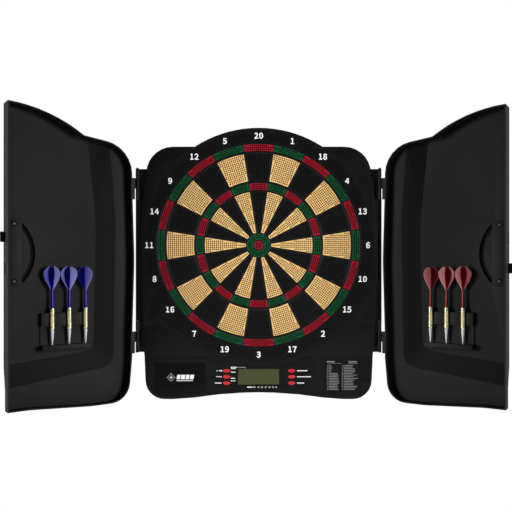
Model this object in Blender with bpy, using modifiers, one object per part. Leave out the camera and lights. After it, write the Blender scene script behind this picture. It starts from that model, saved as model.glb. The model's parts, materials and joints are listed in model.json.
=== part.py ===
"""An electronic dart board in a wall cabinet, with two doors that each carry a rack of three darts.

Metres, +Z up.  The origin is on the wall plane, straight behind the bull; the board faces -Y.
Each door is modelled in its own hinge frame: x runs from the hinge axis to the free edge, y is the
depth behind the door's rim, and z is the height above the bull.
"""

import math

import bmesh
import bpy
import numpy as np
from mathutils import Matrix

# ---- overall sizes
HOUSING_DEPTH = 0.036  # wall to the front skin of the housing
HOUSING_SIDE = 0.2304  # middle line to the widest point of the side
HOUSING_ARC = 0.2285  # radius of the arched top, about the bull
HOUSING_BOTTOM = 0.2995  # bull down to the lowest point of the control fascia
SHOULDER_HEIGHT = 0.1917  # bull up to the flat of the shoulders
SHOULDER_SIDE = HOUSING_SIDE - 0.0117
CORNER_RADIUS = 0.037
SHOULDER_RADIUS = 0.052
SKIN = 0.0025  # wall of every moulded shell
GAP = 0.0003  # clearance between pieces that touch
REAR_THICKNESS = 0.003
SEAM_HEIGHT = -0.218  # straight part of the seam between housing and fascia
SEAM_ARC = 0.2355  # radius of the curved part of that seam, about the bull
SEAM_RISE = 0.0012  # how much higher the seam ends at the sides

# ---- the board
BOARD_STEPS = 40  # facets of each ring
CATCH_OUTER = 0.2243
CATCH_DEPTH = 0.0115
CATCH_RECESS = 0.0005  # how far the catch ring sits behind the front skin
SPIDER_RECESS = 0.0015
SPIDER_DEPTH = 0.0060
WEB = 0.0016  # width of the spider's bars and narrow rings
WIDE_WEB = 0.0044  # width of the rings on both sides of the outer single keys
MIDDLE_WEB = 0.0028  # width of the ring inside the treble keys
BAR_DEPTH = 0.0012
BAR_STEP = 0.0002  # how far the bars sit behind the rings
DOUBLE_OUTER = 0.1976
DOUBLE_INNER = 0.1840
TREBLE_OUTER = 0.1214
TREBLE_INNER = 0.1080
BULL_OUTER = 0.0229
BULL_INNER = 0.0088
SECTORS = 20
KEY_DEPTH = 0.0052
KEY_TRAVEL = 0.0008
FOAM_RADIUS = 0.205
MEMBRANE_THICKNESS = 0.0008
FOAM_THICKNESS = 0.008

# ---- the doors
DOOR_ARC = 0.2370  # radius of the arched top, about the bull
DOOR_HINGE_EDGE = 0.0107  # hinge axis to the nearest edge of the door
EDGE_BOW = 0.0045  # how far that edge bows towards the axis between the hinges
DOOR_BOTTOM = 0.3010
DOOR_FREE_BOTTOM = 0.2930
MIDDLE_GAP = 0.0006  # a closed door's free edge to the middle line
HINGE_OFFSET = 0.0052  # housing's widest point out to the hinge axis
RIM_GAP = 0.0010  # closed door's rim to the housing's front skin
LAND_DEPTH = 0.0165  # rim to the shallow floor
FLOOR_DEPTH = 0.0255  # rim to the deep floor
OPEN_ANGLE = {"left": 39.6, "right": 32.9}  # door to board plane, in degrees
HINGE_X = HOUSING_SIDE + HINGE_OFFSET
DOOR_WIDTH = HINGE_X - MIDDLE_GAP  # hinge axis to free edge
AXIS_Y = -HOUSING_DEPTH - RIM_GAP

# ---- handle, catch and rack
HANDLE_CENTRE = (DOOR_WIDTH + 0.0238, -0.0204)
HANDLE_RADIUS = 0.0758
HANDLE_WIDTH = 0.0082
HANDLE_HEIGHT = 0.0060
PLATE_LEFT = DOOR_WIDTH - 0.0270
PLATE_SPAN = (-0.0772, 0.0379)
PLATE_DEPTH = 0.0150
TAB_CENTRE = {"left": 0.0064, "right": -0.0472}
TAB_HEIGHT = 0.0178
TAB_THICKNESS = 0.0040
TAB_DEPTH = 0.0175  # rim to the near face of the tab
TAB_REACH = 0.0078  # how far the tab stands out of the free edge
TAB_LENGTH = 0.0200
SLOT_GAP = 0.0008  # room round a tab in the other door's free edge
RACK_SPAN = (0.0850, 0.1750)
RACK_PLATE = 0.0018
LEDGE_TOP = -0.1850
LEDGE_THICKNESS = 0.0090
LEDGE_DEPTH = 0.0110
BAR_TOP = -0.1271
BAR_BOTTOM = -0.1507
DART_X = (0.0958, 0.1260, 0.1565)
DART_DEPTH = 0.0168

# ---- a dart, measured from the point upwards
POINT_END = -0.1880
POINT_RADIUS = 0.0013  # near the sharp end
POINT_SHOULDER = 0.0033
BARREL_BOTTOM = -0.1579
BARREL_TOP = -0.1184
BARREL_RADIUS = 0.0046
STEM_RADIUS = 0.0025
FLIGHT_BOTTOM = -0.0902
FLIGHT_TOP = -0.0430
FLIGHT_HALF = 0.0152
VANE = 0.0007
# vane turns of each dart from the viewer's line towards the hinge, in degrees: two inner, two outer
VANE_TURNS = ((8.0, -56.0, 66.0, -78.0), (24.0, -42.0, 80.0, -78.0), (33.0, -33.0, 78.0, -78.0))
DART_STEPS = 12

# ---- hinges
KNUCKLE_RADIUS = 0.0033
PIN_RADIUS = 0.0013
PIN_HEAD = 0.0022
BLOCK_INNER = HOUSING_SIDE - 0.0174  # lateral place where a hinge block runs into the housing wall
STRIP_REACH = 0.0040  # how far the bar between the hinges stands past their axis
STRIP_FRONT = 0.0028  # axis to the bar's front
STRIP_DEPTH = 0.0150
UPPER_HINGE = {"top": 0.1485, "mid_top": 0.1306, "mid_bottom": 0.1094, "bottom": 0.0906}
LOWER_HINGE = {"top": -0.1477, "mid_top": -0.1672, "mid_bottom": -0.1884, "bottom": -0.2080}
LEAF_THICKNESS = 0.0025
LEAF_START = 0.0048
LEAF_END = 0.0120
LEAF_FRONT = 0.0006

# ---- controls on the fascia
BUTTON_X = {"left": -0.0624, "right": 0.0643}
BUTTON_Z = (-0.2443, -0.2560, -0.2682)
BUTTON_WIDTH = 0.0140
BUTTON_HEIGHT = 0.0072
BUTTON_PROUD = 0.0012
BUTTON_TRAVEL = 0.0010
LCD = ((-0.0400, -0.2712), (0.0400, -0.2412))
LCD_FRAME = 0.0012  # how far the display reaches behind its window
LENS_THICKNESS = 0.0015
BADGE = ((-0.2025, -0.2860), (-0.1040, -0.2295))
CARD = ((0.1258, -0.2850), (0.1990, -0.2205))
PANEL_THICKNESS = 0.0008
BUTTON_NAMES = {
    "left": ("up_button", "down_button", "enter_button"),
    "right": ("power_button", "game_button", "next_button"),
}

COLOURS = {
    "housing": (0.012, 0.012, 0.013, 0.42, 0.0),
    "door": (0.020, 0.020, 0.021, 0.45, 0.0),
    "rear": (0.030, 0.030, 0.032, 0.60, 0.0),
    "gloss": (0.006, 0.006, 0.007, 0.12, 0.0),
    "card": (0.015, 0.015, 0.016, 0.50, 0.0),
    "green_key": (0.004, 0.100, 0.036, 0.45, 0.0),
    "tan_key": (0.700, 0.510, 0.220, 0.50, 0.0),
    "red_key": (0.450, 0.008, 0.020, 0.45, 0.0),
    "button": (0.700, 0.018, 0.022, 0.35, 0.0),
    "lens": (0.100, 0.110, 0.050, 0.10, 0.0),
    "steel": (0.400, 0.400, 0.410, 0.30, 1.0),
    "brass": (0.560, 0.520, 0.280, 0.28, 1.0),
    "tip": (0.500, 0.500, 0.520, 0.45, 0.0),
    "blue": (0.003, 0.003, 0.220, 0.35, 0.0),
    "red": (0.160, 0.004, 0.008, 0.35, 0.0),
    "board": (0.010, 0.090, 0.035, 0.40, 0.0),
    "foam": (0.060, 0.060, 0.060, 0.90, 0.0),
    "film": (0.350, 0.330, 0.280, 0.35, 0.0),
    "rubber": (0.050, 0.050, 0.055, 0.80, 0.0),
}


# ---------------------------------------------------------------- helpers


def clear_scene():
    for thing in list(bpy.data.objects):
        bpy.data.objects.remove(thing, do_unlink=True)


def material(name, finish):
    made = bpy.data.materials.new(name)
    made.use_nodes = True
    red, green, blue, rough, metal = COLOURS[finish]
    shader = made.node_tree.nodes["Principled BSDF"]
    shader.inputs["Base Color"].default_value = (red, green, blue, 1.0)
    shader.inputs["Roughness"].default_value = rough
    shader.inputs["Metallic"].default_value = metal
    return made


def new_collection(name):
    made = bpy.data.collections.new(name)
    bpy.context.scene.collection.children.link(made)
    return made


def add_object(name, mesh, parent=None):
    made = bpy.data.objects.new(name, mesh)
    CABINET.objects.link(made)
    made.parent = parent
    return made


def finish(part, look, smooth=True):
    """Give a sub-part its own material and smooth its round faces."""
    part.data.materials.clear()
    part.data.materials.append(material(part.name, look))
    if smooth:
        part.data.shade_smooth()
        part.data.set_sharp_from_angle(angle=math.radians(35))
    return part


def merge(parts):
    """Put several separate shapes into the first one's mesh."""
    work = bmesh.new()
    for part in parts:
        part.data.transform(part.matrix_basis)
        part.matrix_basis.identity()
        work.from_mesh(part.data)
    work.to_mesh(parts[0].data)
    work.free()
    for part in parts[1:]:
        bpy.data.objects.remove(part, do_unlink=True)
    return parts[0]


def settle(part):
    """Replace a shape's modifiers by their result, while it still lies square to the axes."""
    graph = bpy.context.evaluated_depsgraph_get()
    part.data = bpy.data.meshes.new_from_object(part.evaluated_get(graph))
    part.modifiers.clear()
    work = bmesh.new()
    work.from_mesh(part.data)
    bmesh.ops.remove_doubles(work, verts=work.verts, dist=0.00002)
    bmesh.ops.dissolve_degenerate(work, edges=work.edges, dist=0.00001)
    bmesh.ops.triangulate(work, faces=work.faces)
    work.to_mesh(part.data)
    work.free()


def as_cutter(part):
    for home in list(part.users_collection):
        home.objects.unlink(part)
    CUTTERS.objects.link(part)
    part.hide_render = True
    part.display_type = "WIRE"
    return part


def boolean(part, other, kind):
    modifier = part.modifiers.new(f"{kind.lower()} {other.name}", "BOOLEAN")
    modifier.operation = kind
    modifier.object = as_cutter(other)
    modifier.solver = "EXACT"
    return part


def cut(part, *others):
    for other in others:
        boolean(part, other, "DIFFERENCE")
    return part


def join(part, *others):
    for other in others:
        boolean(part, other, "UNION")
    return part


def welded(mesh):
    """Close a mesh's seams; every face becomes triangles, which stay flat where they are turned or cut."""
    work = bmesh.new()
    work.from_mesh(mesh)
    bmesh.ops.remove_doubles(work, verts=work.verts, dist=0.000001)
    bmesh.ops.triangulate(work, faces=work.faces)
    bmesh.ops.recalc_face_normals(work, faces=work.faces)
    work.to_mesh(mesh)
    work.free()
    return mesh


def box(name, low, high, parent=None):
    """A block between two corners."""
    work = bmesh.new()
    size = [b - a for a, b in zip(low, high)]
    middle = [(a + b) / 2 for a, b in zip(low, high)]
    bmesh.ops.create_cube(work, size=1.0, matrix=Matrix.Translation(middle) @ Matrix.Diagonal((*size, 1.0)))
    mesh = bpy.data.meshes.new(name)
    work.to_mesh(mesh)
    work.free()
    return add_object(name, mesh, parent)


def slab(name, outlines, front, back, parent=None):
    """A flat outline in the XZ plane, thickened from y = front to y = back; further outlines are holes."""
    curve = bpy.data.curves.new(name, "CURVE")
    curve.dimensions = "2D"
    curve.fill_mode = "BOTH"
    curve.extrude = abs(back - front) / 2
    for outline in outlines:
        spline = curve.splines.new("POLY")
        spline.points.add(len(outline) - 1)
        for point, (x, z) in zip(spline.points, outline):
            point.co = (x, z, 0.0, 1.0)
        spline.use_cyclic_u = True
    flat = bpy.data.objects.new(name + "_outline", curve)
    bpy.context.scene.collection.objects.link(flat)
    graph = bpy.context.evaluated_depsgraph_get()
    mesh = bpy.data.meshes.new_from_object(flat.evaluated_get(graph))
    mesh.name = name
    bpy.data.objects.remove(flat, do_unlink=True)
    mesh.transform(Matrix.Translation((0.0, (front + back) / 2, 0.0)) @ Matrix.Rotation(math.pi / 2, 4, "X"))
    return add_object(name, welded(mesh), parent)


def loft(name, near, near_y, far, far_y, parent=None):
    """A block whose outline changes evenly from one y to another."""
    work = bmesh.new()
    rings = []
    for outline, y in ((near, near_y), (far, far_y)):
        rings.append([work.verts.new((x, y, z)) for x, z in outline])
    count = len(near)
    for i in range(count):
        j = (i + 1) % count
        work.faces.new((rings[0][i], rings[0][j], rings[1][j], rings[1][i]))
    work.faces.new(rings[0])
    work.faces.new(rings[1])
    mesh = bpy.data.meshes.new(name)
    work.to_mesh(mesh)
    work.free()
    return add_object(name, welded(mesh), parent)


def turned(name, profile, steps, place, parent=None, axis="Z"):
    """A turned solid: the (radius, height) profile runs from its top to its bottom."""
    mesh = bpy.data.meshes.new(name)
    work = bmesh.new()
    points = [work.verts.new((radius, 0.0, height)) for radius, height in profile]
    for a, b in zip(points, points[1:]):
        work.edges.new((a, b))
    work.to_mesh(mesh)
    work.free()
    made = add_object(name, mesh, parent)
    screw = made.modifiers.new("turn", "SCREW")
    screw.axis = "Z"
    screw.steps = steps
    screw.render_steps = steps
    screw.use_merge_vertices = True
    screw.merge_threshold = 0.00001
    graph = bpy.context.evaluated_depsgraph_get()
    bpy.context.view_layer.update()
    solid = bpy.data.meshes.new_from_object(made.evaluated_get(graph))
    made.modifiers.clear()
    made.data = welded(solid)
    if axis == "Y":
        made.data.transform(Matrix.Rotation(math.pi / 2, 4, "X"))
    made.location = place
    return made


def annulus(name, inner, outer, front, back):
    """A flat ring about the bull, or a disc when inner is zero."""
    angles = np.linspace(0.0, 2 * math.pi, BOARD_STEPS, endpoint=False)
    radii = [radius for radius in (outer, inner) if radius]
    outlines = [[(radius * math.sin(a), radius * math.cos(a)) for a in angles] for radius in radii]
    return slab(name, outlines, front, back)


def rounded(corners, steps=6):
    """An outline whose corners (x, z, radius) are rounded by arcs, with so many steps to a right angle."""
    outline = []
    count = len(corners)
    for i, (x, z, radius) in enumerate(corners):
        here = np.array((x, z))
        if radius == 0:
            outline.append((x, z))
            continue
        before = np.array(corners[i - 1][:2]) - here
        after = np.array(corners[(i + 1) % count][:2]) - here
        before /= np.linalg.norm(before)
        after /= np.linalg.norm(after)
        half = math.acos(max(-1.0, min(1.0, float(before @ after)))) / 2
        reach = radius / math.tan(half)
        middle = here + (before + after) / np.linalg.norm(before + after) * radius / math.sin(half)
        start = here + before * reach - middle
        sweep = math.pi - 2 * half
        turn = np.sign(before[0] * after[1] - before[1] * after[0])
        facets = max(2, round(steps * sweep / (math.pi / 2)))
        for step in range(facets + 1):
            a = -turn * sweep * step / facets
            cosine, sine = math.cos(a), math.sin(a)
            spun = (start[0] * cosine - start[1] * sine, start[0] * sine + start[1] * cosine)
            outline.append((float(middle[0] + spun[0]), float(middle[1] + spun[1])))
    return outline


def inset(outline, distance):
    """The outline moved inwards by a distance."""
    points = np.array(outline)
    forward = np.roll(points, -1, axis=0) - points
    forward /= np.linalg.norm(forward, axis=1)[:, None]
    area = np.sum(points[:, 0] * np.roll(points[:, 1], -1) - np.roll(points[:, 0], -1) * points[:, 1])
    side = 1.0 if area > 0 else -1.0
    normal = np.stack((-forward[:, 1], forward[:, 0]), axis=1) * side
    earlier = np.roll(normal, 1, axis=0)
    corner = (normal + earlier) / (1.0 + np.sum(normal * earlier, axis=1))[:, None]
    return [tuple(map(float, point)) for point in points + corner * distance]


def arc(radius, start, end, steps, centre=(0.0, 0.0)):
    """Points on a circle; angles are in degrees from straight up, clockwise."""
    angles = [math.radians(start + (end - start) * i / steps) for i in range(steps + 1)]
    return [(centre[0] + radius * math.sin(a), centre[1] + radius * math.cos(a)) for a in angles]


def mirrored(outline, side):
    return [(x * side, z) for x, z in outline]


def hole(name, radius, place, length, parent=None, axis="Z", steps=16):
    """A round cutter of the given length, centred on its place."""
    profile = ((0.0, length / 2), (radius, length / 2), (radius, -length / 2), (0.0, -length / 2))
    return turned(name, profile, steps, place, parent, axis)


# ---------------------------------------------------------------- outlines


def housing_side(height):
    """How far the side wall stands out at a height: widest beside the bull."""
    if height > 0:
        share = height / (SHOULDER_HEIGHT - SHOULDER_RADIUS)
        return HOUSING_SIDE - (HOUSING_SIDE - SHOULDER_SIDE) * share**2
    share = height / SEAM_HEIGHT
    return HOUSING_SIDE - 0.0084 * share**2


def right_half_outline():
    """The right half of the cabinet's outline, from the top middle down to the bottom middle."""
    meet = math.degrees(math.acos(SHOULDER_HEIGHT / HOUSING_ARC))
    top = arc(HOUSING_ARC, 0.0, meet, 9)
    shoulder = rounded(
        [(*top[-1], 0), (SHOULDER_SIDE, SHOULDER_HEIGHT, SHOULDER_RADIUS), (SHOULDER_SIDE, 0.10, 0)], 7
    )[1:-1]
    side = [(housing_side(z), z) for z in np.linspace(0.12, SEAM_HEIGHT, 11)]
    foot = rounded(
        [
            (*side[-1], 0),
            (side[-1][0] - 0.0035, -HOUSING_BOTTOM, CORNER_RADIUS),
            (0.1650, -HOUSING_BOTTOM, 0),
            (0.1244, -HOUSING_BOTTOM + 0.0030, 0),
            (0.0778, -HOUSING_BOTTOM + 0.0091, 0),
            (0.0311, -HOUSING_BOTTOM + 0.0124, 0),
            (0.0, -HOUSING_BOTTOM + 0.0131, 0),
        ],
        7,
    )[1:]
    return top + shoulder + side + foot


def both_halves(half):
    """Close a right half, given from its top middle to its bottom middle, with its mirror image."""
    left = [(-x, z) for x, z in reversed(half) if abs(x) > 1e-9]
    return half + left


def seam():
    """The seam between housing and fascia, from left to right."""
    reach = math.degrees(math.acos(-SEAM_HEIGHT / SEAM_ARC))
    return arc(SEAM_ARC, 180.0 + reach, 180.0 - reach, 12)


def upper_outline():
    end = SEAM_HEIGHT + SEAM_RISE
    half = [point for point in right_half_outline() if point[1] > end + 0.0001]
    half.append((housing_side(end), end))
    left = [(-x, z) for x, z in reversed(half) if abs(x) > 1e-9]
    return half + list(reversed(seam())) + left


def lower_outline():
    end = SEAM_HEIGHT + SEAM_RISE - GAP
    half = [point for point in right_half_outline() if point[1] < end - 0.0001]
    half.insert(0, (housing_side(end), end))
    left = [(-x, z) for x, z in reversed(half) if abs(x) > 1e-9]
    return half + left + [(x, z - GAP) for x, z in seam()]


def door_outline():
    """The door's rim from the free edge's top corner round to its bottom corner."""
    notch = HINGE_X - 0.1310
    start = math.degrees(math.asin(-(DOOR_WIDTH - HINGE_X) / DOOR_ARC))
    end = math.degrees(math.asin((HINGE_X - notch) / DOOR_ARC))
    top = [(HINGE_X - x, z) for x, z in arc(DOOR_ARC, start, end, 8)]
    rest = rounded(
        [
            (*top[-1], 0),
            (HINGE_X - 0.1695, SHOULDER_HEIGHT + 0.0020, 0.060),
            (DOOR_HINGE_EDGE, SHOULDER_HEIGHT - 0.0020, 0.056),
            (DOOR_HINGE_EDGE, 0.1200, 0.080),
            (DOOR_HINGE_EDGE - EDGE_BOW, -0.0300, 0.500),
            (DOOR_HINGE_EDGE, -0.1780, 0.080),
            (DOOR_HINGE_EDGE, -0.2180, 0.080),
            (DOOR_HINGE_EDGE + 0.0075, -DOOR_BOTTOM, 0.037),
            (0.0900, -DOOR_BOTTOM, 0.200),
            (DOOR_WIDTH - 0.0350, -DOOR_FREE_BOTTOM, 0.200),
            (DOOR_WIDTH, -DOOR_FREE_BOTTOM, 0),
        ],
        6,
    )
    return top + rest[1:]


def deep_outline(edge):
    """The deep part of a door: its edge runs from the arched top to the free edge.

    edge is 0 at the foot of the slope and 1 at its head, where the shallow land begins.
    """
    side = {
        0: (0.1496, 0.0700, 0.0745, -0.2020, -0.2180),
        1: (0.1916, 0.0325, 0.0385, -0.2360, -0.2595),
    }[edge]
    beside_arch, at_middle, at_corner, corner_z, free_z = side
    rim = door_outline()
    arched = [point for point in rim if point[1] > 0.160 and HINGE_X - point[0] < 0.1276]
    rest = [
        (HINGE_X - beside_arch, 0.1952 if edge == 0 else 0.1900, 0),
        (at_middle, 0.0400, 0.300),
        (at_corner, corner_z, 0.026),
        (DOOR_WIDTH, free_z, 0),
    ]
    return arched + rounded([(*arched[-1], 0), *rest], 5)[1:]


# ---------------------------------------------------------------- housing


def make_front_housing():
    outline = upper_outline()
    part = slab("front_housing", [outline], -HOUSING_DEPTH, -REAR_THICKNESS - GAP)
    pocket = slab("housing_pocket", [inset(outline, SKIN)], -HOUSING_DEPTH + SKIN, 0.001)
    opening = annulus("housing_opening", 0, CATCH_OUTER + GAP, -HOUSING_DEPTH - 0.001, -HOUSING_DEPTH + 0.010)
    blocks = []
    for side in (-1, 1):
        for hinge in (UPPER_HINGE, LOWER_HINGE):
            blocks.append(hinge_block(side, hinge))
        blocks.append(hinge_strip(side))
    join(part, *blocks)
    cut(part, pocket, opening)
    for side in (-1, 1):
        for low, high, near, far in ((-0.1365, -0.1240, 0.0304, 0.0139), (-0.1620, -0.1485, 0.0444, 0.0104)):
            xs = sorted((side * (HOUSING_SIDE - near), side * (HOUSING_SIDE - far)))
            recess = box(
                "corner_recess", (xs[0], -HOUSING_DEPTH - 0.001, low), (xs[1], -HOUSING_DEPTH + 0.0012, high)
            )
            cut(part, recess)
        for hinge in (UPPER_HINGE, LOWER_HINGE):
            cut(part, *hinge_clearance(side, hinge))
    return finish(part, "housing")


def hinge_block(side, hinge):
    """The housing's knuckles and the block that carries them."""
    axis_x = side * HINGE_X
    xs = sorted((side * BLOCK_INNER, axis_x))
    body = box(
        "hinge_block",
        (xs[0], AXIS_Y + 0.0030, hinge["bottom"]),
        (xs[1], -HOUSING_DEPTH + 0.0160, hinge["top"]),
    )
    height = hinge["top"] - hinge["bottom"]
    middle = (hinge["top"] + hinge["bottom"]) / 2
    barrel = hole("housing_knuckle", KNUCKLE_RADIUS, (axis_x, AXIS_Y, middle), height, steps=16)
    web_xs = sorted((axis_x - side * KNUCKLE_RADIUS, axis_x + side * 0.0010))
    web = box("knuckle_web", (web_xs[0], AXIS_Y, hinge["bottom"]), (web_xs[1], AXIS_Y + 0.0060, hinge["top"]))
    return join(body, barrel, web)


def hinge_strip(side):
    """The upright bar that runs from the lower hinge to the upper one."""
    xs = sorted((side * BLOCK_INNER, side * (HINGE_X + STRIP_REACH)))
    overlap = 0.003
    low = (xs[0], AXIS_Y + STRIP_FRONT, LOWER_HINGE["top"] - overlap)
    high = (xs[1], -HOUSING_DEPTH + STRIP_DEPTH, UPPER_HINGE["bottom"] + overlap)
    return box("hinge_strip", low, high)


def hinge_clearance(side, hinge):
    """Room for the door's knuckle and leaf, and the pin's bore."""
    axis_x = side * HINGE_X
    low = hinge["mid_bottom"] - GAP
    high = hinge["mid_top"] + GAP
    room = KNUCKLE_RADIUS + 0.0008
    xs = sorted((axis_x - side * room, axis_x + side * 0.0100))
    gap = box("knuckle_room", (xs[0], AXIS_Y - 0.0100, low), (xs[1], 0.0, high))
    middle = (hinge["top"] + hinge["bottom"]) / 2
    height = hinge["top"] - hinge["bottom"] + 0.004
    bore = hole("pin_bore", PIN_RADIUS + GAP, (axis_x, AXIS_Y, middle), height, steps=12)
    return gap, bore


def make_pins():
    for side, word in ((-1, "left"), (1, "right")):
        for hinge, level in ((UPPER_HINGE, "upper"), (LOWER_HINGE, "lower")):
            top = hinge["top"] + GAP
            bottom = hinge["bottom"] - 0.0010
            profile = (
                (0.0, top + 0.0015),
                (PIN_HEAD, top + 0.0015),
                (PIN_HEAD, top),
                (PIN_RADIUS, top),
                (PIN_RADIUS, bottom),
                (0.0, bottom),
            )
            pin = turned(f"{word}_{level}_hinge_pin", profile, 12, (side * HINGE_X, AXIS_Y, 0.0))
            finish(pin, "steel")


def keyhole(x, z):
    """A keyhole through the rear cover: a round entry with a slot above it."""
    entry = hole("keyhole_entry", 0.0045, (x, -REAR_THICKNESS / 2, z), 0.02, axis="Y")
    slot = box("keyhole_slot", (x - 0.0022, -0.01, z), (x + 0.0022, 0.01, z + 0.011))
    return entry, slot


def make_rear_cover():
    part = slab("rear_cover", [both_halves(right_half_outline())], -REAR_THICKNESS, 0.0)
    for x in (-0.1016, 0.1016):
        cut(part, *keyhole(x, 0.150))
    for row in range(3):
        z = -0.255 + 0.006 * row
        cut(part, box("speaker_vent", (0.128, -0.01, z), (0.152, 0.01, z + 0.002)))
    return finish(part, "rear")


def oval(x, z, width, height, margin=0.0, steps=16):
    return [
        (x + (width / 2 + margin) * math.cos(a), z + (height / 2 + margin) * math.sin(a))
        for a in np.linspace(0, 2 * math.pi, steps, endpoint=False)
    ]


def frame_outline(corners, margin=0.0, radius=0.0):
    (left, low), (right, high) = corners
    return rounded(
        [
            (left - margin, low - margin, radius),
            (right + margin, low - margin, radius),
            (right + margin, high + margin, radius),
            (left - margin, high + margin, radius),
        ],
        4,
    )


def make_control_fascia():
    outline = lower_outline()
    front = -HOUSING_DEPTH
    part = slab("control_fascia", [outline], front, -REAR_THICKNESS - GAP)
    before, through = front - 0.001, front + 0.010
    windows = [slab("fascia_windows", [frame_outline(LCD, GAP)], before, through)]
    for corners in (BADGE, CARD):
        recess_back = front + PANEL_THICKNESS + GAP
        windows.append(slab("panel_recess", [frame_outline(corners, GAP, 0.004)], before, recess_back))
    for x in BUTTON_X.values():
        for z in BUTTON_Z:
            windows.append(slab("button_hole", [oval(x, z, BUTTON_WIDTH, BUTTON_HEIGHT, GAP)], before, through))
    notch = ((CARD[1][0] + 0.0016, -0.2632), (CARD[1][0] + 0.0125, -0.2440))
    windows.append(slab("card_notch", [frame_outline(notch)], before, front + 0.0014))
    jack_z = -HOUSING_BOTTOM
    windows.append(box("jack_hole", (-0.1663, -0.0193, jack_z - 0.002), (-0.1537, -0.0067, jack_z + 0.006)))
    cut(part, merge(windows))
    cut(part, slab("fascia_pocket", [inset(outline, SKIN)], front + SKIN, 0.001))
    settle(part)
    return finish(part, "housing")


def make_electronics():
    front = -HOUSING_DEPTH
    lens = slab("lcd_lens", [frame_outline(LCD)], front + 0.0003, front + 0.0003 + LENS_THICKNESS)
    finish(lens, "lens")
    behind = front + SKIN + GAP
    (left, low), (right, high) = LCD
    edge = LCD_FRAME
    module = box("lcd_module", (left - edge, behind, low - edge), (right + edge, behind + 0.004, high + edge))
    finish(module, "film", smooth=False)
    pad_front = behind + BUTTON_TRAVEL + 0.0005
    for side, sign in (("left", -1), ("right", 1)):
        middle = BUTTON_X[side]
        pad = box(
            f"{side}_button_pad",
            (middle - 0.0100, pad_front + 0.0014, BUTTON_Z[2] - 0.0055),
            (middle + 0.0100, pad_front + 0.0030, BUTTON_Z[0] + 0.0055),
        )
        finish(pad, "rubber", smooth=False)
    board_front = pad_front + 0.0030 + GAP
    board = box("main_board", (-0.0860, board_front, -0.2780), (0.0860, board_front + 0.0016, -0.2395))
    finish(board, "board", smooth=False)
    speaker = turned(
        "speaker",
        ((0.0, 0.004), (0.012, 0.004), (0.018, -0.003), (0.018, -0.005), (0.0, -0.005)),
        20,
        (0.140, -0.012, -0.250),
        axis="Y",
    )
    finish(speaker, "rubber")
    jack = box(
        "power_jack",
        (-0.1660, -0.0190, -HOUSING_BOTTOM + 0.0002),
        (-0.1540, -0.0070, -HOUSING_BOTTOM + 0.0140),
    )
    cut(jack, hole("jack_bore", 0.0034, (-0.160, -0.013, -HOUSING_BOTTOM), 0.020, steps=12))
    finish(jack, "rubber")


def make_buttons():
    front = -HOUSING_DEPTH
    for side, names in BUTTON_NAMES.items():
        for name, z in zip(names, BUTTON_Z):
            x = BUTTON_X[side]
            cap = slab(name, [oval(x, z, BUTTON_WIDTH, BUTTON_HEIGHT)], front - BUTTON_PROUD, front + 0.0040)
            bevel = cap.modifiers.new("soft edge", "BEVEL")
            bevel.width = 0.0005
            bevel.segments = 1
            bevel.limit_method = "ANGLE"
            bevel.angle_limit = math.radians(50)
            finish(cap, "button")


def make_fascia_panels():
    front = -HOUSING_DEPTH
    badge = slab("badge_panel", [frame_outline(BADGE, 0.0, 0.004)], front, front + PANEL_THICKNESS)
    finish(badge, "gloss")
    card = slab("game_card", [frame_outline(CARD, 0.0, 0.004)], front, front + PANEL_THICKNESS)
    finish(card, "card")


# ---------------------------------------------------------------- board


def make_board():
    front = -HOUSING_DEPTH + CATCH_RECESS
    ring_inner = DOUBLE_OUTER + WEB + GAP
    finish(annulus("catch_ring", ring_inner, CATCH_OUTER, front, front + CATCH_DEPTH), "housing")
    spider_front = -HOUSING_DEPTH + SPIDER_RECESS
    make_spider(spider_front)
    key_front = spider_front + BAR_DEPTH + GAP
    rings = (
        ("double_keys", DOUBLE_INNER, DOUBLE_OUTER, "green_key"),
        ("outer_single_keys", TREBLE_OUTER + WIDE_WEB, DOUBLE_INNER - WIDE_WEB, "tan_key"),
        ("treble_keys", TREBLE_INNER, TREBLE_OUTER, "green_key"),
        ("inner_single_keys", BULL_OUTER + WEB, TREBLE_INNER - MIDDLE_WEB, "tan_key"),
        ("outer_bull_key", BULL_INNER + WEB, BULL_OUTER, "green_key"),
    )
    for name, inner, outer, look in rings:
        finish(annulus(name, inner + GAP, outer - GAP, key_front, key_front + KEY_DEPTH), look)
    bull = annulus("inner_bull_key", 0, BULL_INNER - GAP, spider_front, key_front + KEY_DEPTH)
    finish(bull, "red_key")
    sheet_front = key_front + KEY_DEPTH + KEY_TRAVEL + GAP
    sheet = annulus("sensor_membrane", 0, DOUBLE_OUTER, sheet_front, sheet_front + MEMBRANE_THICKNESS)
    finish(sheet, "film")
    foam_front = max(sheet_front + MEMBRANE_THICKNESS, front + CATCH_DEPTH) + GAP
    finish(annulus("foam_backing", 0, FOAM_RADIUS, foam_front, foam_front + FOAM_THICKNESS), "foam")


def make_spider(front):
    """Six rings joined by the bars between the sectors."""
    webs = (
        (BULL_INNER, WEB),
        (BULL_OUTER, WEB),
        (TREBLE_INNER - MIDDLE_WEB, MIDDLE_WEB),
        (TREBLE_OUTER, WIDE_WEB),
        (DOUBLE_INNER - WIDE_WEB, WIDE_WEB),
        (DOUBLE_OUTER, WEB),
    )
    rings = [annulus("spider", inner, inner + width, front, front + SPIDER_DEPTH) for inner, width in webs]
    part = merge(rings)
    bars = []
    low, high = front + BAR_STEP, front + BAR_DEPTH
    for sector in range(SECTORS):
        turn = 2 * math.pi * (sector + 0.5) / SECTORS
        bars.append(radial_bar(turn, BULL_OUTER + WEB / 2, DOUBLE_OUTER + WEB / 2, low, high))
    for quarter in range(4):
        turn = math.pi / 2 * (quarter + 0.5)
        bars.append(radial_bar(turn, BULL_INNER + WEB / 2, BULL_OUTER + WEB / 3, low, high))
    join(part, merge(bars))
    return finish(part, "housing")


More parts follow.
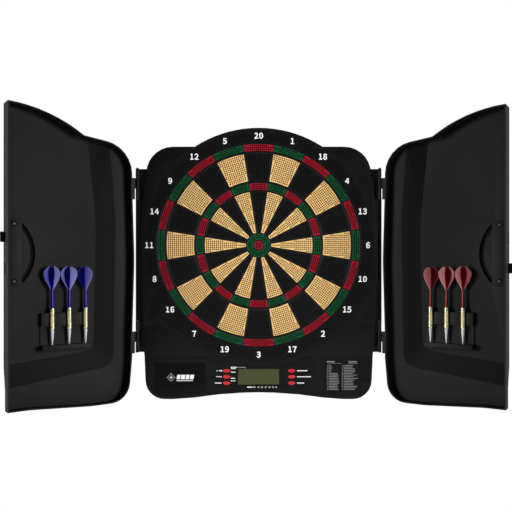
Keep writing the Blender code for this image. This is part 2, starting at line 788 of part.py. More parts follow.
def radial_bar(turn, inner, outer, front, back):
    bar = box("spider_bars", (-WEB / 2, front, inner), (WEB / 2, back, outer))
    bar.data.transform(Matrix.Rotation(turn, 4, "Y"))
    return bar


# ---------------------------------------------------------------- doors


def make_door(word, side):
    pivot = bpy.data.objects.new(f"{word}_door_pivot", None)
    CABINET.objects.link(pivot)
    pivot.location = (side * HINGE_X, AXIS_Y, 0.0)
    make_door_shell(word, side, pivot)
    make_catch(word, side, pivot)
    make_rack(word, side, pivot)
    for number, x in enumerate(DART_X, 1):
        make_dart(word, side, number, x, pivot)
    for part in pivot.children:
        if not part.hide_render:
            settle(part)
    pivot.rotation_euler = (0.0, 0.0, -side * math.radians(OPEN_ANGLE[word]))


def door_block(name, side, low, high, parent):
    xs = sorted((side * low[0], side * high[0]))
    return box(name, (xs[0], low[1], low[2]), (xs[1], high[1], high[2]), parent)


def handle_outline(width, margin):
    """The arched grip near the free edge, cut off where the catch plate begins."""
    outer = HANDLE_RADIUS + margin
    inner = HANDLE_RADIUS - width - margin
    stop = HANDLE_CENTRE[0] - PLATE_LEFT - margin
    reach = math.degrees(math.acos(stop / outer))
    short = math.degrees(math.acos(stop / inner))
    ring = arc(outer, 270 - reach, 270 + reach, 10, HANDLE_CENTRE)
    return ring + arc(inner, 270 + short, 270 - short, 10, HANDLE_CENTRE)


def make_door_shell(word, side, pivot):
    rim = door_outline()
    part = slab(f"{word}_door", [mirrored(rim, side)], 0.0, LAND_DEPTH + SKIN, pivot)
    deep_edge = deep_outline(1)
    floor_edge = deep_outline(0)
    outer = loft(
        "deep_outer",
        mirrored(deep_edge, side),
        LAND_DEPTH + SKIN - 0.0005,
        mirrored(floor_edge, side),
        FLOOR_DEPTH + SKIN,
        pivot,
    )
    join(part, outer)
    grip = slab(
        "grip_outer",
        [mirrored(handle_outline(HANDLE_WIDTH, 0.0018), side)],
        FLOOR_DEPTH + SKIN - 0.001,
        FLOOR_DEPTH + HANDLE_HEIGHT,
        pivot,
    )
    join(part, grip)
    land = slab("land_pocket", [mirrored(inset(rim, SKIN), side)], -0.001, LAND_DEPTH, pivot)
    floor = loft(
        "floor_pocket",
        mirrored(inset(deep_edge, SKIN), side),
        LAND_DEPTH - 0.0005,
        mirrored(inset(floor_edge, SKIN), side),
        FLOOR_DEPTH,
        pivot,
    )
    groove = slab(
        "grip_groove",
        [mirrored(handle_outline(HANDLE_WIDTH, 0.0), side)],
        FLOOR_DEPTH - 0.001,
        FLOOR_DEPTH + HANDLE_HEIGHT - 0.0018,
        pivot,
    )
    cut(part, join(land, floor, groove))
    for owner, margin in ((word, GAP), ("right" if word == "left" else "left", SLOT_GAP)):
        middle = TAB_CENTRE[owner]
        slot = door_block(
            "tab_slot",
            side,
            (DOOR_WIDTH - 0.008, TAB_DEPTH - margin, middle - TAB_HEIGHT / 2 - margin),
            (DOOR_WIDTH + 0.004, TAB_DEPTH + TAB_THICKNESS + margin, middle + TAB_HEIGHT / 2 + margin),
            pivot,
        )
        cut(part, slot)
    for hinge in (UPPER_HINGE, LOWER_HINGE):
        join(part, door_knuckle(side, hinge, pivot))
        middle = (hinge["top"] + hinge["bottom"]) / 2
        cut(part, hole("door_bore", PIN_RADIUS + GAP, (0.0, 0.0, middle), 0.07, pivot, steps=12))
    return finish(part, "door")


def door_knuckle(side, hinge, pivot):
    low = hinge["mid_bottom"] + GAP
    high = hinge["mid_top"] - GAP
    barrel = hole("door_knuckle", KNUCKLE_RADIUS, (0.0, 0.0, (low + high) / 2), high - low, pivot, steps=16)
    near, far = LEAF_FRONT, LEAF_FRONT + LEAF_THICKNESS
    step = 0.0001
    arm_low = (0.0004, near + step, low + step)
    arm_high = (LEAF_START + 0.001, far - step, high - step)
    arm = door_block("knuckle_arm", side, arm_low, arm_high, pivot)
    leaf = door_block(
        "hinge_leaf", side, (LEAF_START, near, hinge["bottom"] - 0.002), (LEAF_END, far, high - 2 * step), pivot
    )
    return join(barrel, arm, leaf)


def make_catch(word, side, pivot):
    inner_wall = DOOR_WIDTH - SKIN - GAP
    low = (PLATE_LEFT, PLATE_DEPTH, PLATE_SPAN[0])
    high = (inner_wall, FLOOR_DEPTH - GAP, PLATE_SPAN[1])
    plate = door_block(f"{word}_catch_plate", side, low, high, pivot)
    hollow = door_block(
        "plate_hollow",
        side,
        (PLATE_LEFT + 0.0018, PLATE_DEPTH + 0.0018, PLATE_SPAN[0] + 0.0018),
        (inner_wall + 0.01, FLOOR_DEPTH + 0.01, PLATE_SPAN[1] - 0.0018),
        pivot,
    )
    cut(plate, hollow)
    finish(plate, "door", smooth=False)
    middle = TAB_CENTRE[word]
    tab = door_block(
        f"{word}_catch_tab",
        side,
        (DOOR_WIDTH + TAB_REACH - TAB_LENGTH, TAB_DEPTH, middle - TAB_HEIGHT / 2),
        (DOOR_WIDTH + TAB_REACH, TAB_DEPTH + TAB_THICKNESS, middle + TAB_HEIGHT / 2),
        pivot,
    )
    bevel = tab.modifiers.new("soft edge", "BEVEL")
    bevel.width = 0.0008
    bevel.segments = 2
    finish(tab, "rubber")


def make_rack(word, side, pivot):
    back = FLOOR_DEPTH - GAP
    left, right = RACK_SPAN
    bottom = LEDGE_TOP - LEDGE_THICKNESS
    plate_low = (left, back - RACK_PLATE, bottom)
    rack = door_block(f"{word}_dart_rack", side, plate_low, (right, back, BAR_TOP), pivot)
    ledge = door_block("ledge", side, (left, LEDGE_DEPTH, bottom), (right, back - 0.0005, LEDGE_TOP), pivot)
    bar_front = DART_DEPTH + 0.0010
    bar = door_block("clip_bar", side, (left, bar_front, BAR_BOTTOM), (right, back - 0.0005, BAR_TOP), pivot)
    join(rack, ledge, bar)
    for x in DART_X:
        middle = (BAR_TOP + BAR_BOTTOM) / 2
        saddle = hole(
            "saddle",
            BARREL_RADIUS + 0.0006,
            (side * x, DART_DEPTH, middle),
            BAR_TOP - BAR_BOTTOM + 0.01,
            pivot,
            steps=DART_STEPS,
        )
        cut(rack, saddle)
        depth = LEDGE_TOP - POINT_END + GAP
        mouth = (side * x, DART_DEPTH, LEDGE_TOP)
        socket = hole("point_socket", POINT_RADIUS + 0.0006, mouth, 2 * depth, pivot, steps=DART_STEPS)
        cut(rack, socket)
    return finish(rack, "door")


def make_dart(word, side, number, x, pivot):
    place = (side * x, DART_DEPTH, 0.0)
    point = (
        (0.0, BARREL_BOTTOM - GAP),
        (POINT_SHOULDER, BARREL_BOTTOM - GAP),
        (POINT_SHOULDER, BARREL_BOTTOM - 0.0040),
        (POINT_RADIUS, POINT_END + 0.0060),
        (POINT_RADIUS * 0.8, POINT_END + 0.0010),
        (POINT_RADIUS * 0.4, POINT_END),
        (0.0, POINT_END),
    )
    finish(turned(f"{word}_dart_{number}_point", point, DART_STEPS, place, pivot), "tip")
    barrel = (
        (0.0, BARREL_TOP),
        (BARREL_RADIUS - 0.0008, BARREL_TOP),
        (BARREL_RADIUS, BARREL_TOP - 0.0010),
        (BARREL_RADIUS, BARREL_BOTTOM + 0.0040),
        (BARREL_RADIUS - 0.0012, BARREL_BOTTOM),
        (0.0, BARREL_BOTTOM),
    )
    finish(turned(f"{word}_dart_{number}_barrel", barrel, DART_STEPS, place, pivot), "brass")
    stem_bottom = BARREL_TOP + GAP
    flight = hole(
        f"{word}_dart_{number}_flight",
        STEM_RADIUS,
        (side * x, DART_DEPTH, (stem_bottom + FLIGHT_TOP - 0.004) / 2),
        FLIGHT_TOP - 0.004 - stem_bottom,
        pivot,
        steps=8,
    )
    flight.rotation_euler = (0.0, 0.0, math.radians(22.5))
    outline = [
        (0.0010, FLIGHT_BOTTOM + 0.001),
        (FLIGHT_HALF * 0.52, FLIGHT_BOTTOM + 0.0140),
        (FLIGHT_HALF * 0.90, FLIGHT_TOP - 0.0190),
        (FLIGHT_HALF, FLIGHT_TOP - 0.0110),
        (FLIGHT_HALF * 0.86, FLIGHT_TOP - 0.0045),
        (FLIGHT_HALF * 0.45, FLIGHT_TOP),
        (0.0010, FLIGHT_TOP - 0.0020),
    ]
    for turn in VANE_TURNS[number - 1]:
        angle = side * (OPEN_ANGLE[word] - turn)
        vane = slab("vane", [outline], -VANE / 2, VANE / 2, pivot)
        vane.data.transform(Matrix.Rotation(math.radians(-90 + angle), 4, "Z"))
        vane.location = place
        join(flight, vane)
    return finish(flight, "blue" if word == "left" else "red")


# ---------------------------------------------------------------- assembly


def make_cabinet():
    make_rear_cover()
    make_front_housing()
    make_control_fascia()
    make_fascia_panels()
    make_electronics()
    make_buttons()
    make_board()
    make_pins()
    make_door("left", -1)
    make_door("right", 1)


clear_scene()
CABINET = new_collection("dart board cabinet")
CUTTERS = new_collection("cutters")
make_cabinet()
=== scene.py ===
"""The looks of an electronic dart board cabinet with two doors, six darts and a control panel.

Metres, +Z up; the origin is on the wall plane behind the bull, and the board faces -Y.
A door's pieces are made in the door's own frame (x from the hinge axis to the free edge, y the
depth behind the rim, z the height above the bull) and then turned to where the door stands.
"""

import json
import math
import os
import random

import bmesh
import bpy
import numpy as np
from mathutils import Matrix, Vector


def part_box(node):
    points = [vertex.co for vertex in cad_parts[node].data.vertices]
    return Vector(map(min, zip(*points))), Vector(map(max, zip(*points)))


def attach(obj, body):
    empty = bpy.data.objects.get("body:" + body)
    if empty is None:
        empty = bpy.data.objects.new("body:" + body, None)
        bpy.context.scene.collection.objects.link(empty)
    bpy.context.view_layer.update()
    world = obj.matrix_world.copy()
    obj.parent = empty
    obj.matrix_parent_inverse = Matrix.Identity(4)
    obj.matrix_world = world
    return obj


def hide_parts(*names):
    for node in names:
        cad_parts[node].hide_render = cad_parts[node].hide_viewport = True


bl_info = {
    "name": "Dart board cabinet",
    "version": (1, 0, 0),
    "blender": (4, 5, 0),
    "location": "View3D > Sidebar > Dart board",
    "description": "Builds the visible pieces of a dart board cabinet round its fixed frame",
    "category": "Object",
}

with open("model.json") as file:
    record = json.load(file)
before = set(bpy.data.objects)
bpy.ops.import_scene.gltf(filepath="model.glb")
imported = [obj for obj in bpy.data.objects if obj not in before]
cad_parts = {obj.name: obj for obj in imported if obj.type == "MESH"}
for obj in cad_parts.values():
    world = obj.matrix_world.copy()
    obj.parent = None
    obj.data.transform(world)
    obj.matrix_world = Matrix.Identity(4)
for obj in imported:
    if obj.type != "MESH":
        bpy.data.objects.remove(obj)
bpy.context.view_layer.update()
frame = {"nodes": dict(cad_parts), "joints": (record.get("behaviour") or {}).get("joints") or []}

MM = 0.001
FIGURE_SHARE = 0.2567  # height of the font's figures over its size
SECTORS = 20
SECTOR = 2 * math.pi / SECTORS
NUMBERS = (20, 1, 18, 4, 13, 6, 10, 15, 2, 17, 3, 19, 7, 16, 8, 11, 14, 9, 12, 5)
SIDES = (("left", -1), ("right", 1))
SKIN_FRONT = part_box("control_fascia")[0].y
RING_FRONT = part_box("catch_ring")[0].y
SPIDER_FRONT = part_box("spider")[0].y
SPIDER_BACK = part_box("spider")[1].y
REAR_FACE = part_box("rear_cover")[1].y
BUTTONS = {
    "left": ("up_button", "down_button", "enter_button"),
    "right": ("power_button", "game_button", "next_button"),
}


def reach_of(node):
    """(inner, outer) distance of a ring's corners from the bull's axis."""
    points = np.array([v.co for v in frame["nodes"][node].data.vertices])
    spread = np.hypot(points[:, 0], points[:, 2])
    return float(spread.min()), float(spread.max())


def hinge_of(word):
    """(axis place, opening angle at rest) of a door."""
    joint = next(j for j in frame["joints"] if j["name"] == f"{word}_door_hinge")
    return Vector(joint["pos_m"]), math.radians(180.0 + joint["range_deg"][0])


# ---------------------------------------------------------------- sizes and colours


def length(name, text, default):
    return bpy.props.FloatProperty(name=name, description=text, default=default, unit="LENGTH", precision=5)


def colour(name, text, default):
    return bpy.props.FloatVectorProperty(
        name=name, description=text, default=default, size=3, subtype="COLOR"
    )


class BoardSizes(bpy.types.PropertyGroup):
    pitch: length("Hole pitch", "Spacing of the tip holes in the keys", 3.85 * MM)
    mouth: length("Hole mouth", "Radius of a tip hole at the face of a key", 1.60 * MM)
    throat: length("Hole throat", "Radius of a tip hole below its funnel", 1.38 * MM)
    funnel: length("Funnel", "Depth of the funnel of a tip hole", 0.5 * MM)
    pit: length("Hole depth", "Depth of a tip hole", 4.2 * MM)
    margin: length("Edge margin", "Solid edge left round the holes of a key", 0.30 * MM)
    ring_pitch: length("Ring pitch", "Spacing of the square holes in the catch ring", 3.9 * MM)
    ring_hole: length("Ring hole", "Half width of a square hole in the catch ring", 1.15 * MM)
    web: length("Spider web", "Width of the spider's rings and bars", 1.7 * MM)
    number_height: length("Number height", "Height of the numbers round the board", 10.7 * MM)
    number_radius: length("Number radius", "Distance of the numbers from the bull", 213.0 * MM)


class DartSizes(bpy.types.PropertyGroup):
    barrel: length("Barrel", "Radius of a barrel", 4.55 * MM)
    groove: length("Groove", "Depth of a barrel's grooves", 0.45 * MM)
    vane: length("Vane", "Thickness of a flight's vane", 0.4 * MM)
    half: length("Flight", "Widest reach of a vane from the stem", 15.2 * MM)


class Colours(bpy.types.PropertyGroup):
    housing: colour("Housing", "Moulded housing and fascia", (0.0032, 0.0032, 0.0034))
    door: colour("Doors", "Moulded doors", (0.0055, 0.0055, 0.0057))
    ring: colour("Catch ring", "Perforated catch ring and spider", (0.0026, 0.0026, 0.0028))
    tan: colour("Tan keys", "Tan scoring keys", (0.660, 0.420, 0.165))
    black: colour("Black keys", "Black scoring keys", (0.0045, 0.0045, 0.0048))
    red: colour("Red keys", "Red scoring keys", (0.235, 0.005, 0.014))
    green: colour("Green keys", "Green scoring keys", (0.0030, 0.055, 0.017))
    button: colour("Buttons", "Rubber buttons", (0.430, 0.013, 0.017))
    print: colour("Print", "White print and numbers", (0.780, 0.780, 0.780))
    display: colour("Display", "Liquid crystal display", (0.055, 0.062, 0.024))
    blue: colour("Blue flights", "Flights and stems in the left door", (0.0025, 0.0025, 0.2200))
    crimson: colour("Red flights", "Flights and stems in the right door", (0.1500, 0.0035, 0.0080))


# ---------------------------------------------------------------- shader groups and finishes


def group_tree(name, kind, inputs, outputs):
    """A new node group, its inputs given as (label, kind, default): (tree, what it is given, end node)."""
    tree = bpy.data.node_groups.new(name, kind)
    for label, socket_kind, *default in inputs:
        socket = tree.interface.new_socket(label, in_out="INPUT", socket_type=f"NodeSocket{socket_kind}")
        if default:
            socket.default_value = default[0]
    for label, socket_kind in outputs:
        tree.interface.new_socket(label, in_out="OUTPUT", socket_type=f"NodeSocket{socket_kind}")
    return tree, tree.nodes.new("NodeGroupInput").outputs, tree.nodes.new("NodeGroupOutput")


def wire(tree, node, values):
    """Link or set a node's inputs, each by its label or number."""
    for label, value in values.items():
        if isinstance(value, bpy.types.NodeSocket):
            tree.links.new(value, node.inputs[label])
        else:
            node.inputs[label].default_value = value
    return node


def add_node(tree, kind, values, **settings):
    """A new node with its settings made and its inputs wired."""
    node = tree.nodes.new(kind)
    for key, value in settings.items():
        setattr(node, key, value)
    return wire(tree, node, values)


def math_node(tree, operation, first, second):
    return add_node(tree, "ShaderNodeMath", {0: first, 1: second}, operation=operation).outputs[0]


def noise(tree, vector, scale, detail=2.0):
    values = {"Scale": scale, "Detail": detail, "Vector": vector}
    return add_node(tree, "ShaderNodeTexNoise", values).outputs["Fac"]


def shader_tree(name, label, default, rough):
    """A new group from a place, a colour and a roughness to a finish, with one more input of its own."""
    inputs = [("Vector", "Vector"), ("Colour", "Color", (0.5, 0.5, 0.5, 1.0))]
    inputs += [(label, "Float", default), ("Roughness", "Float", rough)]
    outputs = [("Colour", "Color"), ("Roughness", "Float"), ("Height", "Float")]
    return group_tree(name, "ShaderNodeTree", inputs, outputs)


def moulded_group():
    """Fine spark-eroded grain of a moulded plastic, with faint flow marks and dust."""
    tree, given, end = shader_tree("moulded grain", "Tone", 0.15, 0.45)
    vector = given["Vector"]
    grain = noise(tree, vector, 1900.0, 3.0)
    cells = add_node(tree, "ShaderNodeTexVoronoi", {"Scale": 900.0, "Vector": vector})
    flow = noise(tree, vector, 14.0, 4.0)
    height = math_node(tree, "ADD", grain, math_node(tree, "MULTIPLY", cells.outputs["Distance"], 0.7))
    swing = math_node(tree, "MULTIPLY", math_node(tree, "SUBTRACT", flow, 0.5), given["Tone"])
    values = {"Color": given["Colour"], "Value": math_node(tree, "ADD", swing, 1.0)}
    bright = add_node(tree, "ShaderNodeHueSaturation", values)
    rough = math_node(tree, "ADD", given["Roughness"], math_node(tree, "MULTIPLY", swing, 0.6))
    speckle = math_node(tree, "MULTIPLY", math_node(tree, "SUBTRACT", grain, 0.5), 0.12)
    rough = math_node(tree, "ADD", rough, speckle)
    wire(tree, end, {"Colour": bright.outputs["Color"], "Roughness": rough, "Height": height})
    return tree


def lines_group():
    """Fine turning lines round a piece, and the drift in shade that handling leaves."""
    tree, given, end = shader_tree("turning lines", "Pitch", 4000.0, 0.3)
    values = {"Distortion": 1.5, "Vector": given["Vector"], "Scale": given["Pitch"]}
    wave = add_node(tree, "ShaderNodeTexWave", values, bands_direction="Z")
    tarnish = noise(tree, given["Vector"], 220.0, 5.0)
    drift = math_node(tree, "ADD", math_node(tree, "MULTIPLY", tarnish, 0.5), 0.75)
    shade = add_node(tree, "ShaderNodeHueSaturation", {"Color": given["Colour"], "Value": drift})
    rough = math_node(tree, "ADD", given["Roughness"], math_node(tree, "MULTIPLY", tarnish, 0.15))
    wire(tree, end, {"Colour": shade.outputs["Color"], "Roughness": rough, "Height": wave.outputs["Fac"]})
    return tree


def shader_group(maker):
    """One shared copy of each group."""
    name = {moulded_group: "moulded grain", lines_group: "turning lines"}[maker]
    return bpy.data.node_groups.get(name) or maker()


def surface(
    name, tint, rough, maker=moulded_group, metal=0.0, depth=0.02 * MM, coat=0.0, level=0.5, **group_values
):
    """A Principled material whose colour, roughness and bump come through one of the shared groups."""
    made = bpy.data.materials.get(name)
    if made:
        return made
    made = bpy.data.materials.new(name)
    made.use_nodes = True
    tree = made.node_tree
    place = tree.nodes.new("ShaderNodeTexCoord")
    values = {"Colour": (*tint, 1.0), "Roughness": rough, "Vector": place.outputs["Object"], **group_values}
    group = add_node(tree, "ShaderNodeGroup", values, node_tree=shader_group(maker))
    values = {"Strength": 0.6, "Distance": depth, "Height": group.outputs["Height"]}
    bump = add_node(tree, "ShaderNodeBump", values)
    wire(tree, tree.nodes["Principled BSDF"], {
        "Base Color": group.outputs["Colour"], "Roughness": group.outputs["Roughness"],
        "Normal": bump.outputs["Normal"], "Metallic": metal, "Specular IOR Level": level,
        "Coat Weight": coat, "Coat Roughness": 0.08,
    })
    return made


def tints():
    return bpy.context.scene.dart_colours


def housing_plastic():
    return surface("housing_plastic", tints().housing, 0.55, level=0.12, Tone=0.10)


def door_plastic():
    return surface("door_plastic", tints().door, 0.58, depth=0.03 * MM, level=0.09, Tone=0.12)


# A darker copy of the door's plastic with less sheen: painted shade on the slope of the door's band.
def band_plastic():
    return surface("band_plastic", tuple(0.6 * c for c in tints().door), 0.55, level=0.04, Tone=0.10)


def ring_plastic():
    return surface("ring_plastic", tints().ring, 0.48, level=0.2, Tone=0.10)


# Matte black that is painted shade: it darkens the bottoms and lower walls of the tip and ring holes, the
# grip's groove and the discs under the catch screws.
def pit_black():
    return surface("pit_black", (0.0015, 0.0015, 0.0015), 0.9, level=0.1, Tone=0.10)


def key_plastic(word):
    rough = {"tan": 0.50, "black": 0.48, "red": 0.42, "green": 0.42}[word]
    tint = getattr(tints(), word)
    return surface(f"{word}_key_plastic", tint, rough, depth=0.015 * MM, level=0.25, Tone=0.12)


def white_print():
    return surface("white_print", tints().print, 0.60, depth=0.01 * MM, Tone=0.05)


def grey_print():
    return surface("grey_print", tuple(0.30 * c for c in tints().print), 0.60, depth=0.01 * MM, Tone=0.05)


def button_rubber():
    return surface("button_rubber", tints().button, 0.38, depth=0.015 * MM, Tone=0.10)


def black_rubber():
    return surface("black_rubber", (0.003, 0.003, 0.003), 0.65, depth=0.04 * MM, level=0.1, Tone=0.2)


def bright_steel():
    return surface("bright_steel", (0.35, 0.35, 0.36), 0.28, lines_group, metal=1.0, depth=0.01 * MM)


def blackened_steel():
    return surface("blackened_steel", (0.030, 0.030, 0.032), 0.34, lines_group, metal=0.6, depth=0.01 * MM)


def pale_brass():
    return surface("pale_brass", (0.63, 0.58, 0.36), 0.24, lines_group, metal=1.0, depth=0.012 * MM)


def tip_nylon():
    return surface("tip_nylon", (0.42, 0.42, 0.44), 0.38, depth=0.01 * MM, Tone=0.15)


# ---------------------------------------------------------------- mesh helpers


def mesh_from(work, name):
    bmesh.ops.recalc_face_normals(work, faces=work.faces)
    mesh = bpy.data.meshes.new(name)
    work.to_mesh(mesh)
    work.free()
    return mesh


def smooth(mesh, degrees=38.0):
    mesh.shade_smooth()
    mesh.set_sharp_from_angle(angle=math.radians(degrees))
    return mesh


def piece(name, mesh, finishes, body, stands_for=()):
    """Put a finished mesh in the scene as a piece that rides on a body."""
    made = bpy.data.objects.new(name, mesh)
    bpy.context.scene.collection.objects.link(made)
    if finishes:
        mesh.materials.clear()
        for look in finishes:
            mesh.materials.append(look)
    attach(made, body)
    if stands_for:
        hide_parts(*stands_for)
    return made


def evaluated_mesh(mesh, *modifiers):
    """The mesh after some modifiers, each given as (type, settings)."""
    holder = bpy.data.objects.new("holder", mesh)
    bpy.context.scene.collection.objects.link(holder)
    for kind, settings in modifiers:
        modifier = holder.modifiers.new(kind.lower(), kind)
        for key, value in settings.items():
            setattr(modifier, key, value)
    graph = bpy.context.evaluated_depsgraph_get()
    made = bpy.data.meshes.new_from_object(holder.evaluated_get(graph))
    bpy.data.objects.remove(holder)
    return made


def soft_edges(width, segments=2, degrees=32.0):
    settings = {"width": width, "segments": segments, "limit_method": "ANGLE"}
    settings["angle_limit"] = math.radians(degrees)
    settings["use_clamp_overlap"] = True
    return ("BEVEL", settings)


def softened(node, width, crease=30.0):
    """A copy of a frame node with its loose triangles joined, its flats made whole and its edges eased."""
    work = bmesh.new()
    work.from_mesh(frame["nodes"][node].data)
    bmesh.ops.remove_doubles(work, verts=work.verts, dist=0.01 * MM)
    flat = math.radians(0.6)
    bmesh.ops.dissolve_limit(
        work, angle_limit=flat, verts=work.verts, edges=work.edges, use_dissolve_boundaries=False
    )
    mesh = mesh_from(work, node)
    return smooth(evaluated_mesh(mesh, soft_edges(width)), crease)


def turned(profile, steps, name="turned"):
    """A solid of revolution about Z from (radius, height) pairs that run from top to bottom."""
    work = bmesh.new()
    rings = []
    for radius, height in profile:
        if radius < 1e-7:
            rings.append([work.verts.new((0.0, 0.0, height))])
            continue
        angles = [2 * math.pi * i / steps for i in range(steps)]
        rings.append([work.verts.new((radius * math.cos(a), radius * math.sin(a), height)) for a in angles])
    bridge_rings(work, rings)
    return mesh_from(work, name)


def bridge_rings(work, rings):
    """Faces between rings of the same count; a ring of one point closes the shape."""
    for upper, lower in zip(rings, rings[1:]):
        count = max(len(upper), len(lower))
        for i in range(count):
            j = (i + 1) % count
            around = ((upper, i), (upper, j), (lower, j), (lower, i))
            corners = [ring[place % len(ring)] for ring, place in around]
            work.faces.new(list(dict.fromkeys(corners)))


def ring_of(work, outline, y):
    return [work.verts.new((x, y, z)) for x, z in outline]


def round_ring(work, radius, y, steps):
    """Points round the Y axis, from the top."""
    angles = np.linspace(0, 2 * math.pi, steps, False)
    return [work.verts.new((radius * math.sin(a), y, radius * math.cos(a))) for a in angles]


def inset(outline, distance):
    """The outline moved inwards."""
    points = np.array(outline)
    forward = np.roll(points, -1, axis=0) - points
    forward /= np.linalg.norm(forward, axis=1)[:, None]
    area = np.sum(points[:, 0] * np.roll(points[:, 1], -1) - np.roll(points[:, 0], -1) * points[:, 1])
    normal = np.stack((-forward[:, 1], forward[:, 0]), axis=1) * np.sign(area)
    earlier = np.roll(normal, 1, axis=0)
    corner = (normal + earlier) / (1.0 + np.sum(normal * earlier, axis=1))[:, None]
    return [tuple(map(float, point)) for point in points + corner * distance]


def circle(radius, steps, centre=(0.0, 0.0), first=0.0):
    angles = [first + 2 * math.pi * i / steps for i in range(steps)]
    return [(centre[0] + radius * math.sin(a), centre[1] + radius * math.cos(a)) for a in angles]


def oval(x, z, half_width, half_height, steps=32):
    angles = np.linspace(0, 2 * math.pi, steps, False)
    return [(x + half_width * math.cos(a), z + half_height * math.sin(a)) for a in angles]


def arc(radius, start, stop, steps):
    """Points on an arc about the bull, its angles measured from the top."""
    return [(radius * math.sin(a), radius * math.cos(a)) for a in np.linspace(start, stop, steps)]


def rectangle(left, low, right, high):
    return [(left, low), (right, low), (right, high), (left, high)]


def plate(outlines, front, back, name="plate", ease=0.0):
    """Separate flat blocks, one to an outline, with eased front edges."""
    work = bmesh.new()
    for outline in outlines:
        rings = [ring_of(work, inset(outline, ease), front)] if ease else []
        rings.append(ring_of(work, outline, front + ease))
        rings.append(ring_of(work, outline, back))
        work.faces.new(rings[0])
        work.faces.new(rings[-1])
        bridge_rings(work, rings)
    return mesh_from(work, name)


def perforated(outline, holes, front, back, sizes, name, inner=None):
    """A block whose front carries funnel-mouthed pits; holes are (mouth ring, throat ring) outlines.

    The faces below a funnel carry the boolean attribute "pit"; these later take a black that is painted shade
    deep in the holes.
    """
    work = bmesh.new()
    ease = 0.25 * MM
    edges = []
    shells = [(outline, 1.0)] + ([(inner, -1.0)] if inner else [])
    for edge_line, side in shells:
        rings = [
            ring_of(work, inset(edge_line, side * ease), front),
            ring_of(work, edge_line, front + ease),
            ring_of(work, edge_line, back),
        ]
        bridge_rings(work, rings)
        edges.append((rings[0], rings[-1]))
    mark = work.faces.layers.bool.new("pit")
    rims = [near for near, far in edges]
    for mouth, throat in holes:
        rings = [
            ring_of(work, mouth, front),
            ring_of(work, throat, front + sizes.funnel),
            ring_of(work, throat, front + sizes.pit),
        ]
        known = set(work.faces)
        bridge_rings(work, rings)
        work.faces.new(rings[-1])
        for face in set(work.faces) - known:
            face[mark] = face.calc_center_median().y > front + sizes.funnel * 0.9
        rims.append(rings[0])
    for loops in (rims, [far for near, far in edges]):
        lines = [work.edges.get((loop[i - 1], loop[i])) for loop in loops for i in range(len(loop))]
        bmesh.ops.triangle_fill(work, use_beauty=False, use_dissolve=False, edges=lines)
    return mesh_from(work, name)


def print_font():
    """A plain sans-serif that comes with Blender."""
    folder = bpy.utils.system_resource("DATAFILES", path="fonts")
    return bpy.data.fonts.load(os.path.join(folder, "Noto Sans CJK Regular.woff2"), check_existing=True)


def writing(text, height, bold=0.0, depth=0.1 * MM, centred=True):
    """Upright figures in the XZ plane about the origin; the mesh is depth thick, towards -Y."""
    curve = bpy.data.curves.new("writing", "FONT")
    curve.body = text
    curve.size = height / FIGURE_SHARE
    curve.offset = bold
    curve.extrude = depth / 2
    curve.resolution_u = 4
    curve.align_x = "CENTER" if centred else "LEFT"
    curve.align_y = "CENTER"
    curve.space_character = 1.06
    curve.font = print_font()
    holder = bpy.data.objects.new("writing", curve)
    bpy.context.scene.collection.objects.link(holder)
    graph = bpy.context.evaluated_depsgraph_get()
    mesh = bpy.data.meshes.new_from_object(holder.evaluated_get(graph))
    bpy.data.objects.remove(holder)
    points = np.array([v.co for v in mesh.vertices])
    middle = (points.min(0) + points.max(0)) / 2
    shift = Vector((-middle[0] if centred else 0.0, -middle[1], 0.0))
    mesh.transform(Matrix.Rotation(math.pi / 2, 4, "X") @ Matrix.Translation(shift))
    return mesh


def joined(meshes, name):
    """One mesh out of several, given with their places as (mesh, matrix)."""
    work = bmesh.new()
    for mesh, place in meshes:
        part = mesh.copy()
        part.transform(place)
        if place.determinant() < 0:
            part.flip_normals()
        work.from_mesh(part)
        bpy.data.meshes.remove(part)
    mesh = bpy.data.meshes.new(name)
    work.to_mesh(mesh)
    work.free()
    return mesh


def at(x, y, z):
    return Matrix.Translation((x, y, z))


def in_door(word):
    """The matrix that takes a door's own frame to where the door stands at rest."""
    side = dict(SIDES)[word]
    axis, angle = hinge_of(word)
    flip = Matrix.Diagonal((side, 1.0, 1.0, 1.0))
    return Matrix.Translation(axis) @ Matrix.Rotation(-side * angle, 4, "Z") @ flip


# ---------------------------------------------------------------- geometry nodes


def mesh_tree(name, inputs):
    """A new group from a mesh to a mesh, with more inputs of its own."""
    mesh = ("Geometry", "Geometry")
    return group_tree(name, "GeometryNodeTree", [mesh] + inputs, [mesh])


def around_tree():
    """Copies of a mesh, turned about the bull's axis by even steps."""
    name = "copies round the bull"
    if bpy.data.node_groups.get(name):
        return bpy.data.node_groups[name]
    wanted = [("Count", "Int"), ("First turn", "Float"), ("Step", "Float")]
    wanted += [("Face finish", "Material"), ("Pit finish", "Material")]
    tree, given, end = mesh_tree(name, wanted)
    points = add_node(tree, "GeometryNodePoints", {"Count": given["Count"]})
    index = tree.nodes.new("GeometryNodeInputIndex")
    turn = math_node(tree, "MULTIPLY", index.outputs[0], given["Step"])
    turn = math_node(tree, "ADD", turn, given["First turn"])
    spin = add_node(tree, "ShaderNodeCombineXYZ", {"Y": turn})
    values = {"Points": points.outputs[0], "Instance": given["Geometry"], "Rotation": spin.outputs[0]}
    copies = add_node(tree, "GeometryNodeInstanceOnPoints", values)
    real = add_node(tree, "GeometryNodeRealizeInstances", {0: copies.outputs[0]})
    values = {"Geometry": real.outputs[0], "Material": given["Face finish"]}
    faces = add_node(tree, "GeometryNodeSetMaterial", values)
    # faces marked pit get the black that is painted shade deep in the holes
    pit = add_node(tree, "GeometryNodeInputNamedAttribute", {"Name": "pit"}, data_type="BOOLEAN")
    values = {"Geometry": faces.outputs[0], "Selection": pit.outputs[0], "Material": given["Pit finish"]}
    pits = add_node(tree, "GeometryNodeSetMaterial", values)
    wire(tree, end, {"Geometry": pits.outputs[0]})
    return tree


